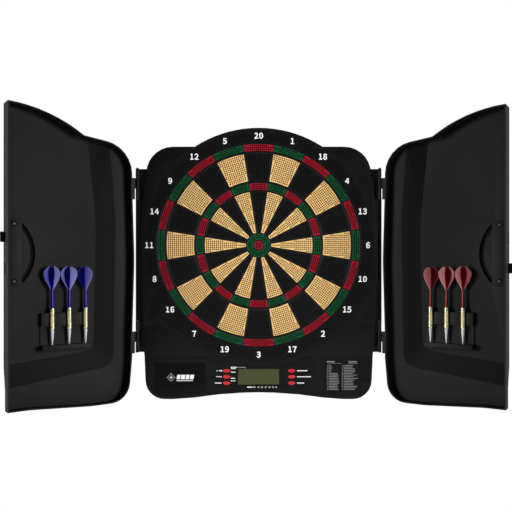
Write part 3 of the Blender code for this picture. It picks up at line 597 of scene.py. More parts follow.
def scatter_tree():
    """A copy of an item on each point, turned by the point's own "turn" attribute."""
    name = "items on points"
    if bpy.data.node_groups.get(name):
        return bpy.data.node_groups[name]
    tree, given, end = mesh_tree(name, [("Item", "Object"), ("Finish", "Material")])
    item = add_node(tree, "GeometryNodeObjectInfo", {"As Instance": True, "Object": given["Item"]})
    turn = add_node(tree, "GeometryNodeInputNamedAttribute", {"Name": "turn"}, data_type="FLOAT_VECTOR")
    values = {"Points": given["Geometry"], "Instance": item.outputs["Geometry"], "Rotation": turn.outputs[0]}
    copies = add_node(tree, "GeometryNodeInstanceOnPoints", values)
    real = add_node(tree, "GeometryNodeRealizeInstances", {0: copies.outputs[0]})
    values = {"Geometry": real.outputs[0], "Material": given["Finish"]}
    finish = add_node(tree, "GeometryNodeSetMaterial", values)
    wire(tree, end, {"Geometry": finish.outputs[0]})
    return tree


def grown(mesh, tree, values):
    """The plain mesh that a node tree makes from a mesh, with the tree's inputs set by name."""
    holder = bpy.data.objects.new("holder", mesh)
    bpy.context.scene.collection.objects.link(holder)
    modifier = holder.modifiers.new("nodes", "NODES")
    modifier.node_group = tree
    sockets = {s.name: s.identifier for s in tree.interface.items_tree if s.in_out == "INPUT"}
    for label, value in values.items():
        modifier[sockets[label]] = value
    graph = bpy.context.evaluated_depsgraph_get()
    made = bpy.data.meshes.new_from_object(holder.evaluated_get(graph))
    bpy.data.objects.remove(holder)
    return made


def round_the_bull(mesh, first, step, count, face, pit):
    values = {"Count": count, "First turn": first, "Step": step, "Face finish": face, "Pit finish": pit}
    return grown(mesh, around_tree(), values)


def scattered(item_mesh, places, finish):
    """Copies of an item at (point, euler turn) places."""
    item = bpy.data.objects.new("item", item_mesh)
    bpy.context.scene.collection.objects.link(item)
    points = bpy.data.meshes.new("points")
    points.from_pydata([p for p, turn in places], [], [])
    turns = points.attributes.new("turn", "FLOAT_VECTOR", "POINT")
    turns.data.foreach_set("vector", [c for p, turn in places for c in turn])
    made = grown(points, scatter_tree(), {"Item": item, "Finish": finish})
    bpy.data.objects.remove(item)
    return made


# ---------------------------------------------------------------- board


def key_outline(inner, outer, offset, steps):
    """A scoring key about the upright: arcs inside and outside, sides parallel to the sector's edges."""
    half = SECTOR / 2
    outer_half = half - math.asin(offset / outer)
    inner_half = half - math.asin(offset / inner)
    top = arc(outer, -outer_half, outer_half, steps)
    return top + arc(inner, inner_half, -inner_half, max(3, steps // 2))


def key_holes(inner, outer, offset, sizes):
    """Tip holes on a square grid that is lined up with the key's middle line."""
    half = SECTOR / 2
    rows = int((outer - inner - 2 * sizes.margin) / sizes.pitch)
    middle = (inner + outer) / 2
    clear = sizes.mouth + sizes.margin
    reach = int(outer * math.sin(half) / sizes.pitch) + 2
    found = []
    for row in range(-rows // 2 - 3, rows // 2 + 4):
        z = middle + (row + (0.5 if rows % 2 == 0 else 0.0)) * sizes.pitch
        for column in range(-reach, reach + 1):
            x = column * sizes.pitch
            far = math.hypot(x, z)
            side = z * math.sin(half) - abs(x) * math.cos(half) - offset
            if z > 0 and inner + clear < far < outer - clear and side > clear:
                found.append((x, z))
    return found


def round_hole(x, z, sizes):
    return circle(sizes.mouth, 8, (x, z), math.pi / 8), circle(sizes.throat, 8, (x, z), math.pi / 8)


def square_hole(x, z, half):
    line = rectangle(x - half, z - half, x + half, z + half)
    return line, inset(line, 0.25 * MM)


KEY_CLEAR = 0.25 * MM  # room between a key and the spider's bars
KEY_DROP = 0.35 * MM  # how far the keys lie behind the spider's front


def key_ring(node, slot_words, steps):
    """The twenty keys of a ring: two pieces, one for each colour."""
    sizes = bpy.context.scene.dart_board
    inner, outer = reach_of(node)
    offset = sizes.web / 2 + KEY_CLEAR
    outline = key_outline(inner, outer, offset, steps)
    holes = [round_hole(x, z, sizes) for x, z in key_holes(inner, outer, offset, sizes)]
    front = SPIDER_FRONT + KEY_DROP
    base = perforated(outline, holes, front, SPIDER_BACK, sizes, node)
    for number, word in enumerate(slot_words):
        mesh = round_the_bull(base, number * SECTOR, 2 * SECTOR, SECTORS // 2, key_plastic(word), pit_black())
        made = piece(f"{node}_{word}", mesh, None, node)
        if number == 0:
            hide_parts(node)


def bull_key(node, word, drop, ring):
    """A round key about the bull's axis, with an opening in its middle if it is a ring."""
    sizes = bpy.context.scene.dart_board
    inner, outer = reach_of(node)
    front = SPIDER_FRONT + drop
    holes = []
    reach = int(outer / sizes.pitch) + 1
    clear = sizes.mouth + sizes.margin
    for row in range(-reach, reach + 1):
        for column in range(-reach, reach + 1):
            x, z = column * sizes.pitch, row * sizes.pitch
            far = math.hypot(x, z)
            if far < outer - clear and (not ring or far > inner + clear):
                holes.append(round_hole(x, z, sizes))
    line = circle(inner, 48) if ring else None
    base = perforated(circle(outer, 64), holes, front, SPIDER_BACK, sizes, node, line)
    mesh = round_the_bull(base, 0.0, 0.0, 1, key_plastic(word), pit_black())
    piece(f"{node}_{word}", mesh, None, node, [node])


class ScoringKeys(bpy.types.Operator):
    """Make the perforated scoring keys of the four rings and of the bull"""

    bl_idname = "dartboard.scoring_keys"
    bl_label = "Scoring keys"

    def execute(self, context):
        key_ring("double_keys", ("red", "green"), 13)
        key_ring("outer_single_keys", ("black", "tan"), 11)
        key_ring("treble_keys", ("red", "green"), 9)
        key_ring("inner_single_keys", ("black", "tan"), 9)
        bull_key("outer_bull_key", "green", 0.30 * MM, ring=True)
        bull_key("inner_bull_key", "red", 0.10 * MM, ring=False)
        return {"FINISHED"}


WEB_EASE = 0.35 * MM  # width of the slopes along the spider's front edges
WEB_STEPS = 120
WEB_CLEAR = 0.15 * MM  # room between a ring of the spider and the keys on both sides
BAR_OVERLAP = 0.8 * MM  # how far the bars run into the innermost and outermost rings
BAR_STEP = 0.05 * MM  # how far the bars sit behind the rings
BOARD_RINGS = (
    "inner_bull_key",
    "outer_bull_key",
    "inner_single_keys",
    "treble_keys",
    "outer_single_keys",
    "double_keys",
)


def web_ring(inner, width, front, back):
    """A ring of the spider: square below, eased on its two front edges."""
    outer = inner + width
    section = [
        (outer, back),
        (outer, front + WEB_EASE),
        (outer - WEB_EASE, front),
        (inner + WEB_EASE, front),
        (inner, front + WEB_EASE),
        (inner, back),
    ]
    work = bmesh.new()
    rings = [round_ring(work, radius, y, WEB_STEPS) for radius, y in section]
    bridge_rings(work, rings + [rings[0]])
    return mesh_from(work, "web_ring")


def web_bar(width, inner, outer, front, back):
    """The upright bar of the spider, eased as its rings are."""
    half = width / 2
    section = [(-half, back), (-half, front + WEB_EASE), (-half + WEB_EASE, front)]
    section += [(half - WEB_EASE, front), (half, front + WEB_EASE), (half, back)]
    work = bmesh.new()
    ends = [[work.verts.new((x, y, z)) for x, y in section] for z in (inner, outer)]
    for end in ends:
        work.faces.new(end)
    bridge_rings(work, ends)
    return mesh_from(work, "web_bar")


class Spider(bpy.types.Operator):
    """Make the six rings and twenty bars between the keys"""

    bl_idname = "dartboard.spider"
    bl_label = "Spider"

    def execute(self, context):
        sizes = context.scene.dart_board
        ends = [reach_of(node) for node in BOARD_RINGS]
        starts = [inner for inner, outer in ends[1:]] + [ends[-1][1] + 4 * WEB_CLEAR + sizes.web]
        rings = []
        for (inner, outer), after in zip(ends, starts):
            width = after - outer - 2 * WEB_CLEAR
            ring = web_ring(outer + WEB_CLEAR, width, SPIDER_FRONT, SPIDER_BACK)
            rings.append((ring, Matrix.Identity(4)))
        low, high = ends[1][1] + BAR_OVERLAP, ends[-1][1] + BAR_OVERLAP
        bar = web_bar(sizes.web, low, high, SPIDER_FRONT + BAR_STEP, SPIDER_BACK)
        bars = round_the_bull(bar, SECTOR / 2, SECTOR, SECTORS, ring_plastic(), ring_plastic())
        mesh = smooth(joined(rings + [(bars, Matrix.Identity(4))], "spider_web"), 60.0)
        piece("spider_web", mesh, [ring_plastic()], "cabinet", ["spider"])
        return {"FINISHED"}


RING_STEPS = 160
RING_RIM = 1.0 * MM  # plain rim outside the catch ring's holes


class CatchRing(bpy.types.Operator):
    """Make the catch ring with its grid of square holes, and the pads that carry the numbers"""

    bl_idname = "dartboard.catch_ring"
    bl_label = "Catch ring"

    def execute(self, context):
        sizes = context.scene.dart_board
        inner, outer = reach_of("catch_ring")
        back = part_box("catch_ring")[1].y
        pads = number_places(sizes)
        holes = []
        reach = int(outer / sizes.ring_pitch) + 1
        clear = sizes.ring_hole * math.sqrt(2) + sizes.margin
        farthest = outer - clear - RING_RIM
        for row in range(-reach, reach):
            for column in range(-reach, reach):
                x, z = (column + 0.5) * sizes.ring_pitch, (row + 0.5) * sizes.ring_pitch
                far = math.hypot(x, z)
                if not inner + clear < far < farthest:
                    continue
                if min(math.hypot(x - px, z - pz) for px, pz in pads) < pad_radius(sizes) + sizes.ring_hole:
                    continue
                holes.append(square_hole(x, z, sizes.ring_hole))
        outline, opening = circle(outer, RING_STEPS), circle(inner, RING_STEPS)
        ring = perforated(outline, holes, RING_FRONT, back, sizes, "catch_ring_face", opening)
        mesh = round_the_bull(ring, 0.0, 0.0, 1, ring_plastic(), pit_black())
        piece("catch_ring_face", mesh, None, "cabinet", ["catch_ring"])
        return {"FINISHED"}


def number_places(sizes):
    """Where the twenty numbers stand, clockwise from the top."""
    return circle(sizes.number_radius, SECTORS)


def pad_radius(sizes):
    """Radius of the plain pad behind a number, where the catch ring has no holes."""
    return sizes.number_height * PAD_SHARE


PAD_SHARE = 0.67  # radius of a number's pad over the number's height
NUMBER_BOLD = 0.42 * MM
NUMBER_THICKNESS = 0.4 * MM
NUMBER_PROUD = 0.12 * MM


class Numbers(bpy.types.Operator):
    """Set the upright white numbers round the board"""

    bl_idname = "dartboard.numbers"
    bl_label = "Numbers"

    def execute(self, context):
        sizes = context.scene.dart_board
        figures = []
        for number, (x, z) in zip(NUMBERS, number_places(sizes)):
            mesh = writing(str(number), sizes.number_height, NUMBER_BOLD, NUMBER_THICKNESS)
            figures.append((mesh, at(x, RING_FRONT - NUMBER_PROUD, z)))
        piece("board_numbers", joined(figures, "board_numbers"), [white_print()], "cabinet")
        return {"FINISHED"}


# ---------------------------------------------------------------- casing


SCREW_RADIUS = 2.6 * MM
SCREW_RISE = 0.9 * MM
SCREW_STEPS = 24
SCREW_SINK = 1.05 * MM
SEAT_RADIUS = 3.4 * MM
SEAT_STEPS = 28
REAR_SCREWS = [(x, z) for x in (-0.198, 0.198) for z in (-0.262, -0.06, 0.125)]
REAR_SCREWS += [(-0.06, -0.262), (0.06, -0.262), (-0.07, 0.198), (0.07, 0.198)]


def drilled(mesh, places, radius, depth):
    """The rear cover's mesh with a flat-bottomed seat for the screw at each place."""
    drill = turned(((0.0, depth), (radius, depth), (radius, -depth), (0.0, -depth)), SEAT_STEPS)
    drill.transform(Matrix.Rotation(math.pi / 2, 4, "X"))
    tool = bpy.data.objects.new("drill", joined([(drill, at(x, REAR_FACE, z)) for x, z in places], "drill"))
    bpy.context.scene.collection.objects.link(tool)
    cut = ("BOOLEAN", {"operation": "DIFFERENCE", "solver": "EXACT", "object": tool})
    made = smooth(evaluated_mesh(mesh, cut), 30.0)
    bpy.data.objects.remove(tool)
    return made


class Casing(bpy.types.Operator):
    """Give the housing, fascia and rear cover their eased edges and moulded finish"""

    bl_idname = "dartboard.casing"
    bl_label = "Casing"

    def execute(self, context):
        for node in ("front_housing", "control_fascia"):
            shell = softened(node, 0.7 * MM)
            piece(f"{node}_shell", shell, [housing_plastic()], "cabinet", [node])
        rear = surface("rear_plastic", (0.022, 0.022, 0.023), 0.62, depth=0.05 * MM, Tone=0.15)
        panel = drilled(softened("rear_cover", 0.4 * MM), REAR_SCREWS, SEAT_RADIUS, SCREW_SINK)
        piece("rear_cover_panel", panel, [rear], "cabinet", ["rear_cover"])
        return {"FINISHED"}


def screw_head():
    """A pan-head screw with a crossed recess, its axis along -Y."""
    radius, rise = SCREW_RADIUS, SCREW_RISE
    work = bmesh.new()
    profile = ((1.0, 0.0), (0.96, 0.55), (0.72, 1.0), (0.55, 1.05))
    rings = [round_ring(work, radius * share, -rise * lift, SCREW_STEPS) for share, lift in profile]
    bridge_rings(work, rings)
    work.faces.new(rings[0])
    quarter = math.pi / 2
    cross = []
    for step in range(SCREW_STEPS):
        a = 2 * math.pi * step / SCREW_STEPS
        from_arm = min(a % quarter, quarter - a % quarter)
        far = radius * (0.46 if from_arm < 0.27 else 0.16)
        cross.append((far * math.sin(a), far * math.cos(a)))
    lip = ring_of(work, cross, -rise * 1.05)
    floor = ring_of(work, [(x * 0.8, z * 0.8) for x, z in cross], -rise * 0.30)
    bridge_rings(work, [rings[-1], lip, floor])
    work.faces.new(floor)
    return smooth(mesh_from(work, "screw"), 40.0)


# the two screws of a catch plate: room to the plate's end, and turn of the recess
UPPER_SCREW = (8.0 * MM, 0.3)
LOWER_SCREW = (7.0 * MM, 1.1)
# a thin black disc under each catch screw: painted shade round its head
SCREW_SHADE_DISC = ((0.0, 0.3 * MM), (4.2 * MM, 0.3 * MM), (4.4 * MM, 0.0), (0.0, 0.0))
SEAL_INNER = 4.8 * MM  # hinge axis to the seal's edge on the housing's side
SEAL_OUTER = 3.0 * MM
SEAL_DEPTHS = (4.7 * MM, 6.2 * MM)  # hinge axis to the seal's two faces
SEAL_MARGIN = 3.0 * MM


class Fasteners(bpy.types.Operator):
    """Set the screws of the rear cover and of the catch plates, and the strips behind the hinges"""

    bl_idname = "dartboard.fasteners"
    bl_label = "Fasteners"

    def execute(self, context):
        turned_back = (0.0, 0.0, math.pi)
        seated = [((x, REAR_FACE - SCREW_SINK, z), turned_back) for x, z in REAR_SCREWS]
        rear = scattered(screw_head(), seated, bright_steel())
        for word, side in SIDES:
            self.screw_plate(word, side)
            self.seal_hinges(word, side)
        piece("rear_screws", rear, None, "cabinet")
        return {"FINISHED"}

    def screw_plate(self, word, side):
        """Two screws on a catch plate, each over a thin black disc that is painted shade round its head."""
        low, high = PLATE_SPAN
        points = []
        for z, turn in ((high - UPPER_SCREW[0], UPPER_SCREW[1]), (low + LOWER_SCREW[0], LOWER_SCREW[1])):
            spot = in_door(word) @ Vector((PLATE_SCREW_X, PLATE_FRONT, z))
            points.append((spot, (0.0, turn, -side * hinge_of(word)[1])))
        screws = scattered(screw_head(), points, blackened_steel())
        piece(f"{word}_catch_screws", screws, None, f"{word}_door")
        disc = turned(SCREW_SHADE_DISC, 32)
        disc.transform(Matrix.Rotation(math.pi / 2, 4, "X"))
        shade_discs = scattered(disc, points, pit_black())
        piece(f"{word}_screw_seats", shade_discs, None, f"{word}_door")

    def seal_hinges(self, word, side):
        """Close the slit behind each row of knuckles with a strip."""
        axis = hinge_of(word)[0]
        left, right = sorted((axis.x - side * SEAL_INNER, axis.x + side * SEAL_OUTER))
        strips = []
        for level in ("upper", "lower"):
            low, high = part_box(f"{word}_{level}_hinge_pin")
            strips.append(rectangle(left, low.z + SEAL_MARGIN, right, high.z - SEAL_MARGIN))
        near, far = (axis.y + depth for depth in SEAL_DEPTHS)
        piece(f"{word}_hinge_seals", plate(strips, near, far), [black_rubber()], "cabinet")


# ---------------------------------------------------------------- control panel


# a button's shape towards its dished face: share of its width, and depth behind its front
BUTTON_DOME = ((1.0, 0.7 * MM), (0.97, 0.25 * MM), (0.90, 0.02 * MM), (0.70, 0.10 * MM), (0.40, 0.22 * MM))


class Controls(bpy.types.Operator):
    """Make the six domed rubber buttons"""

    bl_idname = "dartboard.controls"
    bl_label = "Buttons"

    def execute(self, context):
        for names in BUTTONS.values():
            for name in names:
                low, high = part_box(name)
                x, z = (low.x + high.x) / 2, (low.z + high.z) / 2
                wide, tall = (high.x - low.x) / 2, (high.z - low.z) / 2
                work = bmesh.new()
                rings = [ring_of(work, oval(x, z, wide, tall), high.y)]
                for share, depth in BUTTON_DOME:
                    rings.append(ring_of(work, oval(x, z, wide * share, tall * share), low.y + depth))
                bridge_rings(work, rings)
                work.faces.new(rings[0])
                work.faces.new(rings[-1])
                mesh = smooth(mesh_from(work, name), 50.0)
                piece(f"{name}_cap", mesh, [button_rubber()], name, [name])
        return {"FINISHED"}


DASH = 1.15 * MM
DASH_GAP = 0.35 * MM
SHORTEST_DASH = 0.5 * MM


def dashes(x, z, width, height, seed):
    """A row of short bars that stands for a printed word."""
    draw = random.Random(seed)
    outlines = []
    place = x
    while place < x + width - SHORTEST_DASH:
        run = min(DASH * draw.uniform(0.6, 1.3), x + width - place)
        outlines.append(rectangle(place, z - height / 2, place + run, z + height / 2))
        place += run + DASH_GAP
    return outlines


def arrow(x, z, size, up):
    tip = size if up else -size
    return [(x - size, z - tip * 0.6), (x + size, z - tip * 0.6), (x, z + tip)]


PRINT_PROUD = 0.05 * MM
PRINT_THICKNESS = 0.1 * MM
LABEL_HEIGHT = 1.9 * MM
# words left of the buttons from the top down: start left of the button, and width
LEFT_WORDS = ((7.5 * MM, 6.5 * MM), (9.0 * MM, 6.5 * MM), (16.0 * MM, 13.0 * MM))
RIGHT_WORDS = (20.0 * MM, 27.0 * MM, 14.0 * MM)  # widths of the words right of the buttons
RIGHT_START = 3.5 * MM
ARROW_PLACE = 11.5 * MM
ARROW_SIZE = 1.5 * MM
# words left of the display: height above its top, and width
DISPLAY_WORDS = ((3.6, 11.0), (0.9, 9.5), (-6.0, 9.0), (-18.0, 8.5), (-23.0, 9.0))
# figures below the display and their distance right of its edge
DISPLAY_FIGURES = {"20": 31.5, "19": 39.5, "18": 46.5, "17": 54.0, "16": 61.0, "15": 68.0, "B": 74.5}
FIGURE_DROP = 5.2 * MM  # display's foot down to the row of figures below it
CARD_ROWS = 16
CARD_PITCH = 3.12 * MM
CARD_TOP = 13.6 * MM  # card's top edge to its first row
CARD_COLUMNS = (7.0 * MM, 36.0 * MM)
# the bars that stand in for a name on the badge: start right of the sign, and width
BADGE_BARS = ((10.5, 6.6), (18.6, 7.6), (27.6, 6.6), (35.7, 7.6))
BADGE_CENTRE = (32.3 * MM, 28.6 * MM)
TICK = ((6.6, -0.45), (8.2, -0.45), (8.2, 0.45), (6.6, 0.45))


class PanelPrint(bpy.types.Operator):
    """Print plain signs beside the buttons, the number row, the badge's target sign and the game card"""

    bl_idname = "dartboard.panel_print"
    bl_label = "Panel print"

    def execute(self, context):
        front = SKIN_FRONT - PRINT_PROUD
        low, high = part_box("lcd_lens")
        marks = self.button_words() + self.display_words(low, high)
        meshes = [(plate(marks, front, front + PRINT_THICKNESS), Matrix.Identity(4))]
        for text, place in DISPLAY_FIGURES.items():
            figure = writing(text, 2.5 * MM, 0.06 * MM)
            meshes.append((figure, at(low.x + place * MM, front, low.z - FIGURE_DROP)))
        piece("fascia_print", joined(meshes, "fascia_print"), [white_print()], "cabinet")
        self.print_card()
        self.print_badge()
        return {"FINISHED"}

    def button_words(self):
        """Arrows beside the upper two left buttons, and a bar of dashes beside each button."""
        marks = []
        for row, (name, (start, width)) in enumerate(zip(BUTTONS["left"], LEFT_WORDS)):
            low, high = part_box(name)
            z = (low.z + high.z) / 2
            if row < 2:
                marks.append(arrow(low.x - ARROW_PLACE, z, ARROW_SIZE, row == 0))
            marks += dashes(low.x - start, z, width, LABEL_HEIGHT, row)
        for row, (name, width) in enumerate(zip(BUTTONS["right"], RIGHT_WORDS)):
            low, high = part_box(name)
            z = (low.z + high.z) / 2
            marks += dashes(high.x + RIGHT_START, z, width, LABEL_HEIGHT, 10 + row)
        return marks

    def display_words(self, low, high):
        """Dashes left of the display and before its row of figures, and a pointer over its corner."""
        marks = []
        for row, (z, width) in enumerate(DISPLAY_WORDS):
            marks += dashes(low.x - 14.0 * MM, high.z + z * MM, width * MM, 1.7 * MM, 20 + row)
        marks.append(rectangle(low.x - 1.5 * MM, high.z + 3.3 * MM, low.x + 14.0 * MM, high.z + 3.7 * MM))
        marks.append(rectangle(low.x + 13.6 * MM, high.z + 1.4 * MM, low.x + 14.0 * MM, high.z + 3.4 * MM))
        return marks + dashes(low.x + 17.5 * MM, low.z - FIGURE_DROP, 11.0 * MM, 2.2 * MM, 30)

    def print_card(self):
        """Two columns of numbered rows under two headings."""
        low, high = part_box("game_card")
        front = low.y - 0.03 * MM
        draw = random.Random(7)
        marks = dashes(low.x + 7.0 * MM, high.z - 6.3 * MM, 16.0 * MM, 2.4 * MM, 40)
        marks += dashes(high.x - 24.0 * MM, high.z - 6.3 * MM, 16.0 * MM, 2.2 * MM, 41)
        marks += dashes(high.x - 24.5 * MM, high.z - 9.6 * MM, 18.0 * MM, 1.0 * MM, 42)
        marks.append(rectangle(low.x + 8.5 * MM, high.z - 9.9 * MM, low.x + 35.0 * MM, high.z - 9.5 * MM))
        meshes = []
        for row in range(CARD_ROWS):
            z = high.z - CARD_TOP - row * CARD_PITCH
            for column, start in enumerate(CARD_COLUMNS):
                x = low.x + start
                text = f"{row + 1 + column * CARD_ROWS:02d}"
                meshes.append((writing(text, 1.9 * MM, 0.04 * MM, centred=False), at(x, front, z)))
                if column:
                    run = draw.uniform(16, 28)
                else:
                    run = draw.uniform(4, 6) if row < 5 else draw.uniform(16, 20)
                marks += dashes(x + 4.4 * MM, z, run * MM, 1.25 * MM, 50 + row * 2 + column)
        meshes.append((plate(marks, front, front + 0.06 * MM), Matrix.Identity(4)))
        piece("card_print", joined(meshes, "card_print"), [grey_print()], "cabinet")

    def print_badge(self):
        """A plain target sign with four ticks, and four bars over a row of dashes."""
        low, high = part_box("badge_panel")
        front = low.y - PRINT_PROUD
        x, z = low.x + BADGE_CENTRE[0], low.z + BADGE_CENTRE[1]
        meshes = []
        for radius in (6.4 * MM, 4.0 * MM):
            sign = web_ring(radius - 0.9 * MM, 0.9 * MM, front, front + 0.5 * MM)
            meshes.append((sign, at(x, 0.0, z)))
        marks = [circle(1.7 * MM, 24, (x, z))]
        for quarter in range(4):
            turn = Matrix.Rotation(math.pi / 2 * quarter, 2)
            corners = [turn @ Vector(corner) * MM for corner in TICK]
            marks.append([(x + corner.x, z + corner.y) for corner in corners])
        foot, head, lean = z - 3.4 * MM, z + 5.2 * MM, 1.6 * MM
        for place, width in BADGE_BARS:
            left, right = x + place * MM, x + (place + width) * MM
            marks.append([(left, foot), (right, foot), (right + lean, head), (left + lean, head)])
        marks += dashes(x + 10.5 * MM, z - 6.2 * MM, 32.0 * MM, 1.8 * MM, 60)
        meshes.append((plate(marks, front, front + PRINT_THICKNESS), Matrix.Identity(4)))
        piece("badge_sign", joined(meshes, "badge_sign"), [white_print()], "cabinet")


class Display(bpy.types.Operator):
    """Finish the display: its olive window, its bezel and its unlit segments"""

    bl_idname = "dartboard.display"
    bl_label = "Display"

    def execute(self, context):
        low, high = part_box("lcd_lens")
        glass = surface("display_glass", tints().display, 0.16, depth=0.002 * MM, coat=0.5, Tone=0.25)
        set_finish("lcd_lens", glass)
        ink = surface("segment_ink", (0.030, 0.035, 0.014), 0.3, depth=0.002 * MM, Tone=0.1)
        front = low.y - 0.04 * MM
        lines = [
            rectangle(low.x + 30.5 * MM, low.z + 1.2 * MM, low.x + 31.1 * MM, high.z - 1.0 * MM),
            rectangle(low.x + 31.0 * MM, low.z + 14.6 * MM, high.x - 1.5 * MM, low.z + 15.1 * MM),
        ]
        for column in range(3):
            for row in range(3):
                x, z = low.x + (5.0 + column * 8.2) * MM, low.z + (4.2 + row * 8.4) * MM
                lines += digit(x, z, 4.6 * MM, 6.4 * MM)
        piece("display_segments", plate(lines, front, front + 0.03 * MM), [ink], "cabinet")
        room = 0.2 * MM
        bars = frame_bars(low.x - room, low.z - room, high.x + room, high.z + room, 1.3 * MM)
        bezel = plate(bars, SKIN_FRONT - 0.12 * MM, SKIN_FRONT + 0.1 * MM)
        piece("display_bezel", bezel, [ring_plastic()], "cabinet")
        return {"FINISHED"}


def digit(x, z, width, height):
    """The seven bars of one unlit figure."""
    bar = 0.5 * MM
    half = height / 2
    across = [rectangle(x + bar, level, x + width - bar, level + bar) for level in (z, z + half, z + height)]
    upright = [rectangle(side, level + bar, side + bar, level + half - bar)
               for side in (x, x + width - bar) for level in (z, z + half)]
    return across + upright


def frame_bars(left, low, right, high, width):
    """Four bars round a window."""
    return [
        rectangle(left - width, low - width, right + width, low),
        rectangle(left - width, high, right + width, high + width),
        rectangle(left - width, low, left, high),
        rectangle(right, low, right + width, high),
    ]


def set_finish(node, look):
    node_mesh = frame["nodes"][node].data
    node_mesh.materials.clear()
    node_mesh.materials.append(look)


class InnerParts(bpy.types.Operator):
    """Give the carried-over frame nodes their finishes"""

    bl_idname = "dartboard.inner_parts"
    bl_label = "Inner parts and pins"

    def execute(self, context):
        film = surface("printed_film", (0.30, 0.28, 0.22), 0.35, Tone=0.3)
        rubber = black_rubber()
        gloss = surface("gloss_black", (0.0035, 0.0035, 0.0040), 0.10, depth=0.001 * MM, coat=1.0, Tone=0.3)
        card = surface("card_black", (0.0035, 0.0035, 0.0037), 0.55, depth=0.01 * MM, level=0.12, Tone=0.15)
        looks = {
            "badge_panel": gloss,
            "game_card": card,
            "sensor_membrane": film,
            "lcd_module": film,
            "foam_backing": surface("black_foam", (0.03, 0.03, 0.03), 0.9, depth=0.2 * MM, Tone=0.4),
            "main_board": surface("solder_mask", (0.005, 0.07, 0.03), 0.35, Tone=0.2),
            "speaker": rubber,
            "power_jack": rubber,
            "left_button_pad": rubber,
            "right_button_pad": rubber,
        }
        for word, _ in SIDES:
            for level in ("upper", "lower"):
                looks[f"{word}_{level}_hinge_pin"] = blackened_steel()
        for node, look in looks.items():
            set_finish(node, look)
        return {"FINISHED"}


# ---------------------------------------------------------------- doors


def door_box(node, word):
    """Lowest and highest corner of a node in its door's own frame."""
    back = in_door(word).inverted()
    points = np.array([back @ v.co for v in frame["nodes"][node].data.vertices])
    return Vector(points.min(0)), Vector(points.max(0))


PLATE_BOX = door_box("left_catch_plate", "left")
PLATE_SPAN = (PLATE_BOX[0].z, PLATE_BOX[1].z)
PLATE_FRONT = PLATE_BOX[0].y
PLATE_SCREW_X = PLATE_BOX[0].x + 13.5 * MM
BAND_DEPTHS = (16.0 * MM, 26.0 * MM)
GRIP_START = PLATE_BOX[0].x - 30.0 * MM


class Doors(bpy.types.Operator):
    """Make the two moulded doors with their catch plates, tabs and racks"""

    bl_idname = "dartboard.doors"
    bl_label = "Doors"

    def execute(self, context):
        for word, _ in SIDES:
            body = f"{word}_door"
            tray = softened(body, 0.8 * MM, 13.0)
            # after the door's plastic come a darker copy of it and a black, both painted shade
            looks = [door_plastic(), band_plastic(), pit_black()]
            piece(f"{word}_door_tray", tray, looks, body, [body])
            self.mark_band(tray, word)
            for node, made, width, look, slot in (
                ("catch_plate", "catch_cover", 0.6 * MM, door_plastic(), "door"),
                ("catch_tab", "catch_tongue", 0.3 * MM, black_rubber(), "rubber"),
                ("dart_rack", "dart_holder", 0.4 * MM, door_plastic(), "door"),
            ):
                mesh = softened(f"{word}_{node}", width)
                piece(f"{word}_{made}", mesh, [look], body, [f"{word}_{node}"])
        return {"FINISHED"}

    def mark_band(self, tray, word):
        """Paint shade on the door: a darker copy of its plastic on the slope between its land and its floor,
        and black in the arched grip's groove.
        """
        back = in_door(word).inverted()
        turn = back.to_3x3()
        for face in tray.polygons:
            depth = (back @ face.center).y
            lean = -(turn @ face.normal).y
            if BAND_DEPTHS[0] < depth < BAND_DEPTHS[1] and 0.5 < lean < 0.985:
                face.material_index = 1
            # the arched grip's groove gets black: painted shade in the hollow
            elif depth > BAND_DEPTHS[1] and lean > -0.5 and self.in_grip(back @ face.center):
                face.material_index = 2

    def in_grip(self, spot):
        """Whether a place lies in the arched grip beside the catch plate."""
        beside = GRIP_START < spot.x < PLATE_BOX[0].x + 1.0 * MM
        return beside and PLATE_SPAN[0] < spot.z < PLATE_SPAN[1]


# ---------------------------------------------------------------- darts


VANE_LENGTH = 47.2 * MM
VANE_BOW = 0.8 * MM
WIDEST = 0.72  # share of a vane's length, from the stem end, at which it is widest
# cut rings of a barrel: start and stop as shares of its length from the top, and their number
BARREL_BANDS = ((0.05, 0.16, 2), (0.20, 0.44, 6), (0.49, 0.73, 6), (0.78, 0.90, 2))


def barrel_profile(low, high, sizes):
    """A barrel from its top to its bottom: plain bands parted by cut rings, over a tapered nose."""
    radius, cut = sizes.barrel, sizes.groove
    span = high - low
    profile = [(0.0, high), (radius * 0.62, high), (radius * 0.62, high - 0.6 * MM)]
    profile += [(radius * 0.9, high - 0.6 * MM), (radius, high - 1.0 * MM)]
    for start, stop, rings in BARREL_BANDS:
        step = span * (stop - start) / rings
        for ring in range(rings):
            top = high - span * start - step * ring
            profile += [(radius, top), (radius - cut, top - step * 0.25)]
            profile += [(radius - cut, top - step * 0.45), (radius, top - step * 0.65)]
    profile += [(radius, low + span * 0.08), (radius * 0.74, low + 0.2 * MM)]
    return profile + [(radius * 0.70, low), (0.0, low)]


def point_profile(low, high):
    """A nylon point from its collar down to its end."""
    return [(0.0, high), (2.9 * MM, high), (3.25 * MM, high - 0.4 * MM), (3.25 * MM, high - 2.6 * MM),
            (2.95 * MM, high - 4.6 * MM), (2.35 * MM, high - 12.0 * MM), (1.75 * MM, high - 19.0 * MM),
            (1.3 * MM, low + 6.0 * MM), (0.95 * MM, low + 0.9 * MM), (0.5 * MM, low + 0.1 * MM), (0.0, low)]


def stem_profile(low, high):
    """A flight's stem from its end between the vanes down to the barrel."""
    top = high - 3.5 * MM
    return [(0.0, top), (1.5 * MM, top), (2.0 * MM, top - 2 * MM), (2.1 * MM, low + 22.0 * MM),
            (2.5 * MM, low + 16.0 * MM), (2.35 * MM, low + 3.0 * MM), (2.9 * MM, low + 2.0 * MM),
            (2.9 * MM, low), (0.0, low)]


